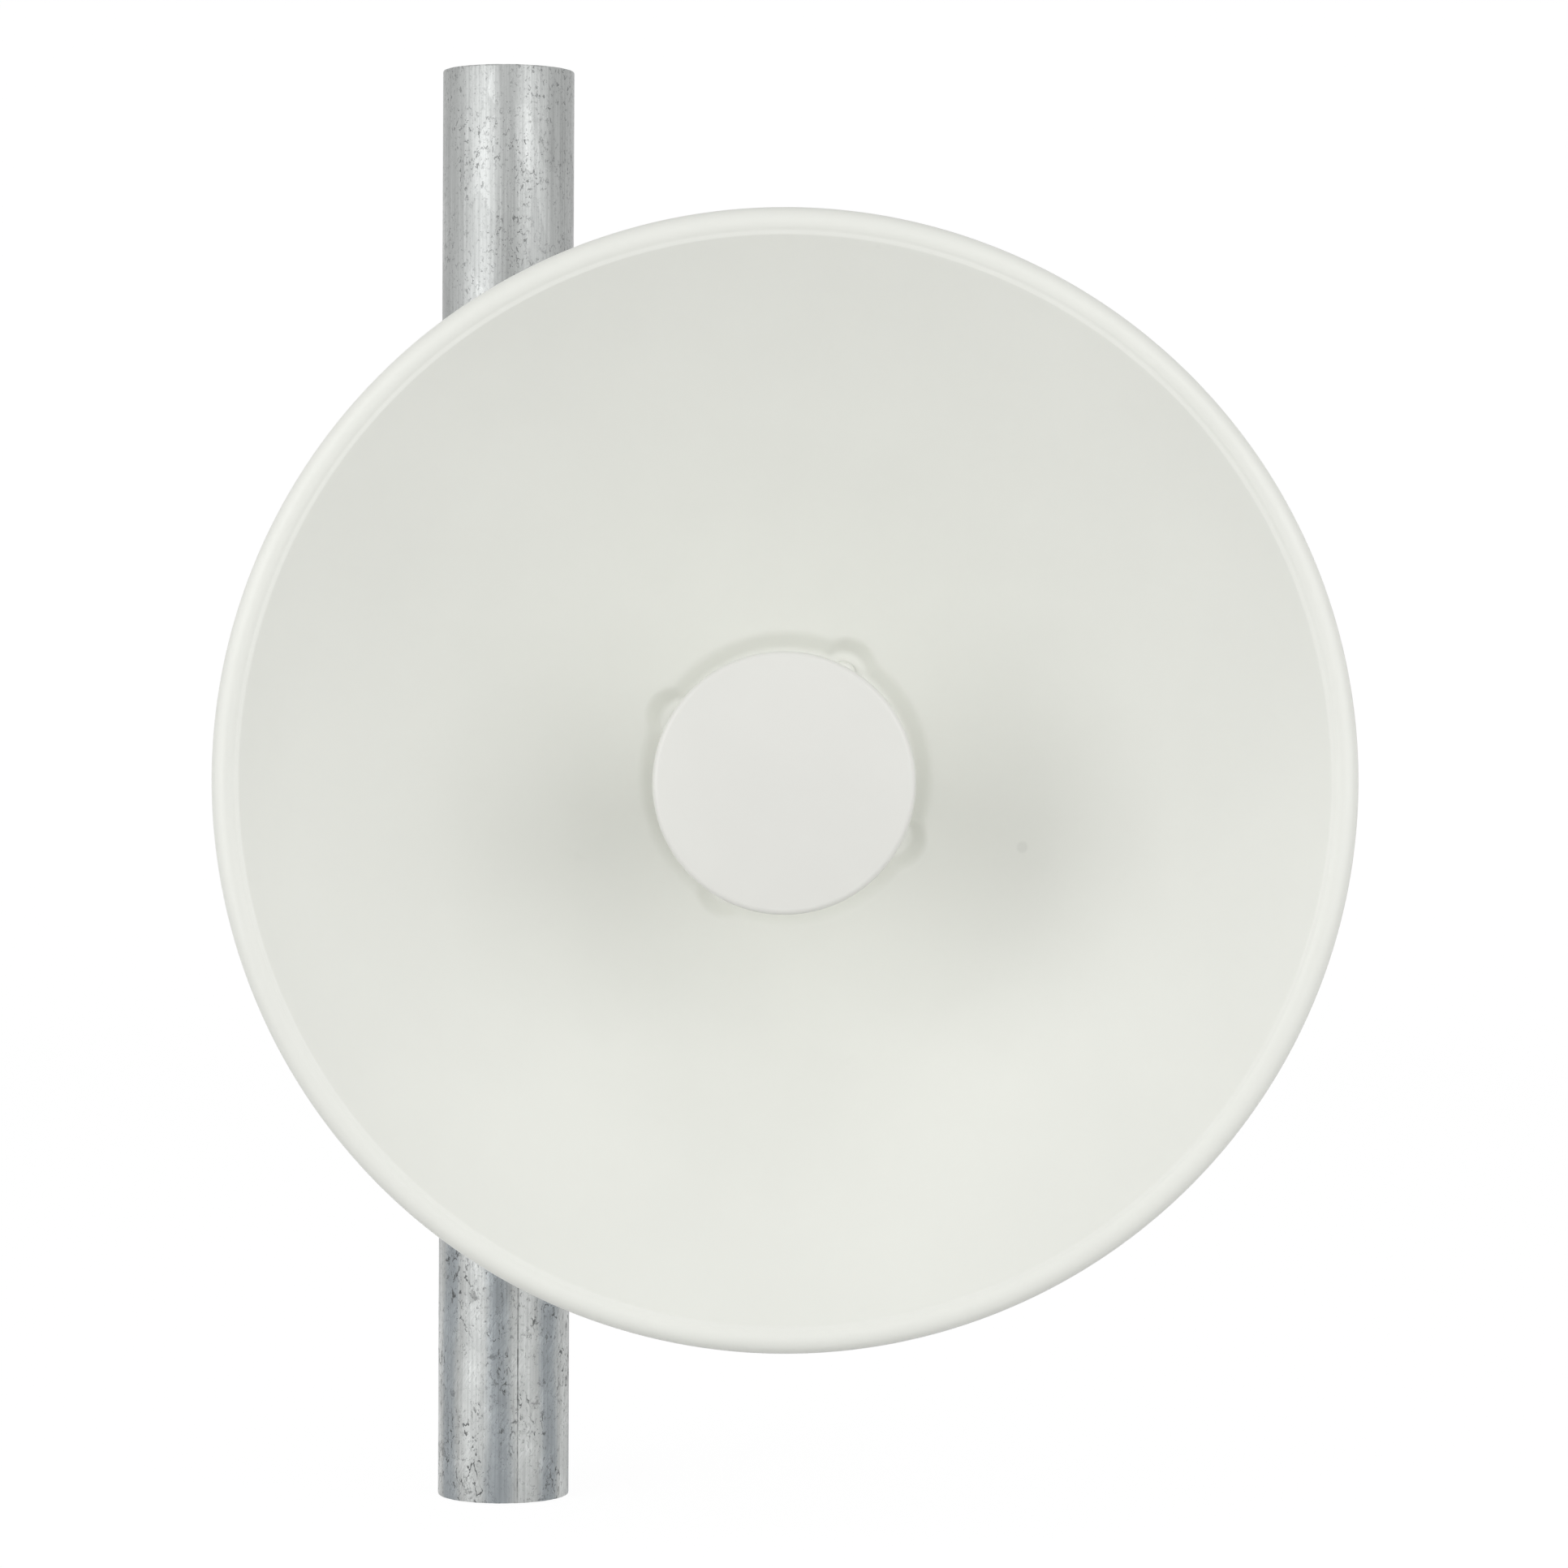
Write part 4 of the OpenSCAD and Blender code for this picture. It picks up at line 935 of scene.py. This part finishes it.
def gland():
    """The cable gland: a body with a hexagon, a ribbed nut with an inward lip, and the seal."""
    mid = centre("gland_nut")
    nut_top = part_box("gland_nut")[1].z
    wall_z = nut_top + 4.3 * MM
    bore, thread_r, hexagon, neck_end = 6.2 * MM, 9.9 * MM, 4 * MM, 13 * MM
    seat_r, seat_z = 8.55 * MM, 6 * MM
    flange = hex_prism(23 * MM, hexagon, bore)
    neck = lathe(filleted([
        (bore, hexagon, 0), (thread_r, hexagon, 0), (thread_r, neck_end, 0.6 * MM),
        (seat_r, neck_end, 0.3 * MM), (seat_r, seat_z, 0), (bore, seat_z, 0)], 4), 72)
    shank = lathe([(bore, -8 * MM), (thread_r, -8 * MM), (thread_r, 0), (bore, 0)], 72)
    body = (flange + neck + shank).placed(along("-z", mid.x, mid.y, wall_z))
    piece("gland_body_turned", body, "antenna_head", "dark_plastic", ["gland_body"])

    steps, ribs, rib_depth = 144, 24, 0.28 * MM
    inner_r, outer_r, lip_r = 10.25 * MM, 11.2 * MM, 6.5 * MM
    nut_end, lip_z = 14 * MM, 9.7 * MM
    profile = filleted([
        (inner_r, 0, 0.3 * MM), (outer_r, 0, 0.5 * MM), (outer_r, 10.5 * MM, 1 * MM),
        (8.6 * MM, nut_end, 1.6 * MM), (lip_r, nut_end, 0.5 * MM), (lip_r, lip_z, 0),
        (inner_r, lip_z, 0)], 5)
    rows = []
    for r, z in profile:
        rib = rib_depth if r > 10.6 * MM and 0.8 * MM < z < 10.2 * MM else 0.0
        row = []
        for j in range(steps):
            a = TAU * j / steps
            swell = r + rib * (0.5 + 0.5 * math.cos(ribs * a))
            row.append((swell * math.cos(a), swell * math.sin(a), z))
        rows.append(row)
    nut = grid(rows).placed(along("-z", mid.x, mid.y, nut_top))
    piece("gland_nut_ribbed", nut, "gland_cap", "dark_plastic", ["gland_nut"])

    low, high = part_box("gland_seal")
    hole_r, seal_r, deep = 3 * MM, 8.4 * MM, high.z - low.z
    seal = lathe(filleted([
        (hole_r, 0, 0.8 * MM), (seal_r, 0, 0.4 * MM), (seal_r, deep, 0.8 * MM),
        (hole_r, deep, 1.2 * MM)], 5), 72)
    seal = seal.placed(along("-z", mid.x, mid.y, high.z))
    piece("gland_seal_moulded", seal, "antenna_head", "seal_rubber", ["gland_seal"])


def reset_button():
    """The button with its collar inside the wall and a dished end; heights run down from the wall."""
    low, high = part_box("reset_button")
    mid = centre("reset_button")
    wall_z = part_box("housing_base")[0].z
    top, tip = wall_z - high.z, wall_z - low.z
    stem_r, collar_r = 3.9 * MM, 5.2 * MM
    collar_top, collar_base = -4.6 * MM, -3.1 * MM
    button = lathe(filleted([
        (0, top, 0), (stem_r, top, 0.3 * MM), (stem_r, collar_top, 0), (collar_r, collar_top, 0.2 * MM),
        (collar_r, collar_base, 0.2 * MM), (stem_r, collar_base, 0), (stem_r, tip, 0.5 * MM),
        (stem_r - 1 * MM, tip - 0.3 * MM, 0.6 * MM), (0, tip - 0.45 * MM, 0)], 4), 64)
    button = button.placed(along("-z", mid.x, mid.y, wall_z))
    piece("reset_button_dished", button, "button", "button_plastic", ["reset_button"])


# ---- Stage, light and camera ----

# How much light the studio gives matt surfaces: everywhere, and more from one place above the camera.
SKY_LEVEL = 0.43
# Azimuth to the right of the camera, elevation, full within, gone past (degrees) and strength
SKY_PATCH = (0, 42, 12, 45, 0.5)
# Tall soft boxes round the front: azimuth as above, and watts
SOFT_BOXES = [(-64, 5.2), (-36, 10), (30, 7.4), (54, 5)]
# The floor's own light towards rays that look at it, and its share of what they see
FLOOR_GLOW = 1.08
FLOOR_GLOW_SHARE = 0.88
# The fitted camera: place, then azimuth, elevation and roll in degrees, and lens on 36 mm
CAMERA_AT = (0.1456, -2.2304, 0.3764)
CAMERA_TURN = (0.444, 1.218, 0.299)
CAMERA_LENS = 111.0


def rays_seen(tree):
    """1 for rays that look at the background: from the camera, off gloss, or through something clear."""
    path = tree.nodes.new("ShaderNodeLightPath")
    seen = path.outputs["Is Camera Ray"]
    for kind in ("Is Glossy Ray", "Is Transmission Ray"):
        either = tree.nodes.new("ShaderNodeMath")
        either.operation = "MAXIMUM"
        tree.links.new(seen, either.inputs[0])
        tree.links.new(path.outputs[kind], either.inputs[1])
        seen = either.outputs[0]
    return seen


def world():
    """A white surround that lights matt surfaces at the studio's level."""
    studio = bpy.data.worlds.new("studio")
    bpy.context.scene.world = studio
    studio.use_nodes = True
    tree = studio.node_tree
    tree.nodes.clear()
    azimuth, elevation, inner, outer, strength = SKY_PATCH
    a, e = math.radians(azimuth), math.radians(elevation)
    dot = tree.nodes.new("ShaderNodeVectorMath")
    dot.operation = "DOT_PRODUCT"
    tree.links.new(tree.nodes.new("ShaderNodeTexCoord").outputs["Generated"], dot.inputs[0])
    dot.inputs[1].default_value = (math.sin(a) * math.cos(e), -math.cos(a) * math.cos(e), math.sin(e))
    level = tree.nodes.new("ShaderNodeMapRange")
    level.interpolation_type = "SMOOTHSTEP"
    for key, value in (("From Min", math.cos(math.radians(outer))),
                       ("From Max", math.cos(math.radians(inner))),
                       ("To Min", SKY_LEVEL), ("To Max", SKY_LEVEL + strength)):
        level.inputs[key].default_value = value
    tree.links.new(dot.outputs["Value"], level.inputs["Value"])
    soft = tree.nodes.new("ShaderNodeBackground")
    soft.inputs["Color"].default_value = (1, 1, 1, 1)
    tree.links.new(level.outputs["Result"], soft.inputs["Strength"])
    white = tree.nodes.new("ShaderNodeBackground")
    white.inputs["Color"].default_value = (1, 1, 1, 1)
    mix = tree.nodes.new("ShaderNodeMixShader")
    tree.links.new(rays_seen(tree), mix.inputs[0])
    tree.links.new(soft.outputs[0], mix.inputs[1])
    tree.links.new(white.outputs[0], mix.inputs[2])
    out = tree.nodes.new("ShaderNodeOutputWorld")
    tree.links.new(mix.outputs[0], out.inputs["Surface"])


def floor():
    """A pale floor that curves up into a white backdrop."""
    half, front, back, rise, bend = 6.0, -7.0, 4.0, 5.0, 1.5
    path = [(front, 0.0), (back - bend, 0.0)]
    path += [(back - bend + x, bend + z) for x, z in arc(0, 0, bend, -90, 0, 16)]
    path += [(back, rise)]
    clear = 0.5 * MM  # so that the tube's end and the floor don't share a plane
    rows = [[(-half, y, z - clear), (half, y, z - clear)] for y, z in path]
    shape = grid(rows, closed_ring=False, closed_path=False)
    obj = added("floor", shape.mesh("floor", 80))
    mat = bpy.data.materials.new("floor_white")
    mat.use_nodes = True
    nodes, links = mat.node_tree.nodes, mat.node_tree.links
    shader = nodes["Principled BSDF"]
    shader.inputs["Base Color"].default_value = (0.74, 0.74, 0.74, 1)
    shader.inputs["Roughness"].default_value = 0.9
    shader.inputs["Specular IOR Level"].default_value = 0.0
    glow = nodes.new("ShaderNodeEmission")
    glow.inputs["Color"].default_value = (1, 1, 1, 1)
    glow.inputs["Strength"].default_value = FLOOR_GLOW
    share = nodes.new("ShaderNodeMath")
    share.operation = "MULTIPLY"
    links.new(rays_seen(mat.node_tree), share.inputs[0])
    share.inputs[1].default_value = FLOOR_GLOW_SHARE
    mix = nodes.new("ShaderNodeMixShader")
    links.new(share.outputs[0], mix.inputs[0])
    links.new(shader.outputs[0], mix.inputs[1])
    links.new(glow.outputs[0], mix.inputs[2])
    links.new(mix.outputs[0], nodes["Material Output"].inputs["Surface"])
    obj.data.materials.append(mat)


def lights():
    """Tall soft boxes on both sides of the camera, which draw the bright bands down the tube."""
    middle = Vector((DISH.x / 2, 0, 0.4))
    distance, width, height = 2.0, 1.0, 1.6
    for azimuth, power in SOFT_BOXES:
        a = math.radians(azimuth)
        light = bpy.data.lights.new("soft_box", "AREA")
        light.shape = "RECTANGLE"
        light.size, light.size_y = width, height
        light.energy = power
        obj = added("soft_box", light)
        obj.location = middle + distance * Vector((math.sin(a), -math.cos(a), 0.1))
        obj.rotation_euler = (middle - obj.location).to_track_quat("-Z", "Y").to_euler()


def camera():
    """Where the photograph was taken from, fitted to the rim, the cap, the seat and the mast."""
    azimuth, elevation, roll = (math.radians(turn) for turn in CAMERA_TURN)
    forward = Vector((-math.sin(azimuth) * math.cos(elevation), math.cos(azimuth) * math.cos(elevation),
                      -math.sin(elevation)))
    right = forward.cross(Vector((0, 0, 1))).normalized()
    up = right.cross(forward)
    tilted_right = math.cos(roll) * right + math.sin(roll) * up
    tilted_up = -math.sin(roll) * right + math.cos(roll) * up
    data = bpy.data.cameras.new("camera")
    data.sensor_width = 36
    data.lens = CAMERA_LENS
    data.clip_end = 40
    obj = added("camera", data)
    spot = Vector(CAMERA_AT)
    obj.matrix_world = Matrix((
        (tilted_right.x, tilted_up.x, -forward.x, spot.x),
        (tilted_right.y, tilted_up.y, -forward.y, spot.y),
        (tilted_right.z, tilted_up.z, -forward.z, spot.z),
        (0, 0, 0, 1)))
    bpy.context.scene.camera = obj


bpy.context.scene.view_settings.view_transform = "Standard"
camera()
world()
floor()
lights()
dress_cad_nodes()
mast()
reflector()
dish_screws()
cap()
shroud()
feed_screws()
clamp_bolts()
clamp_nuts()
knuckle_hardware()
arm_bolts()
tilt_scale()
gland()
reset_button()
softened("pole_bracket", "pole_clamp", "galvanised_plate", 0.4 * MM)
softened("clamp_jaw", "clamp_jaw_body", "galvanised_plate", 0.4 * MM)
softened("tilt_arm", "antenna_head", "arm_paint", 0.7 * MM)
softened("housing_base", "antenna_head", "housing_paint", 0.8 * MM)
softened("housing_cover", "antenna_head", "housing_paint", 0.6 * MM)
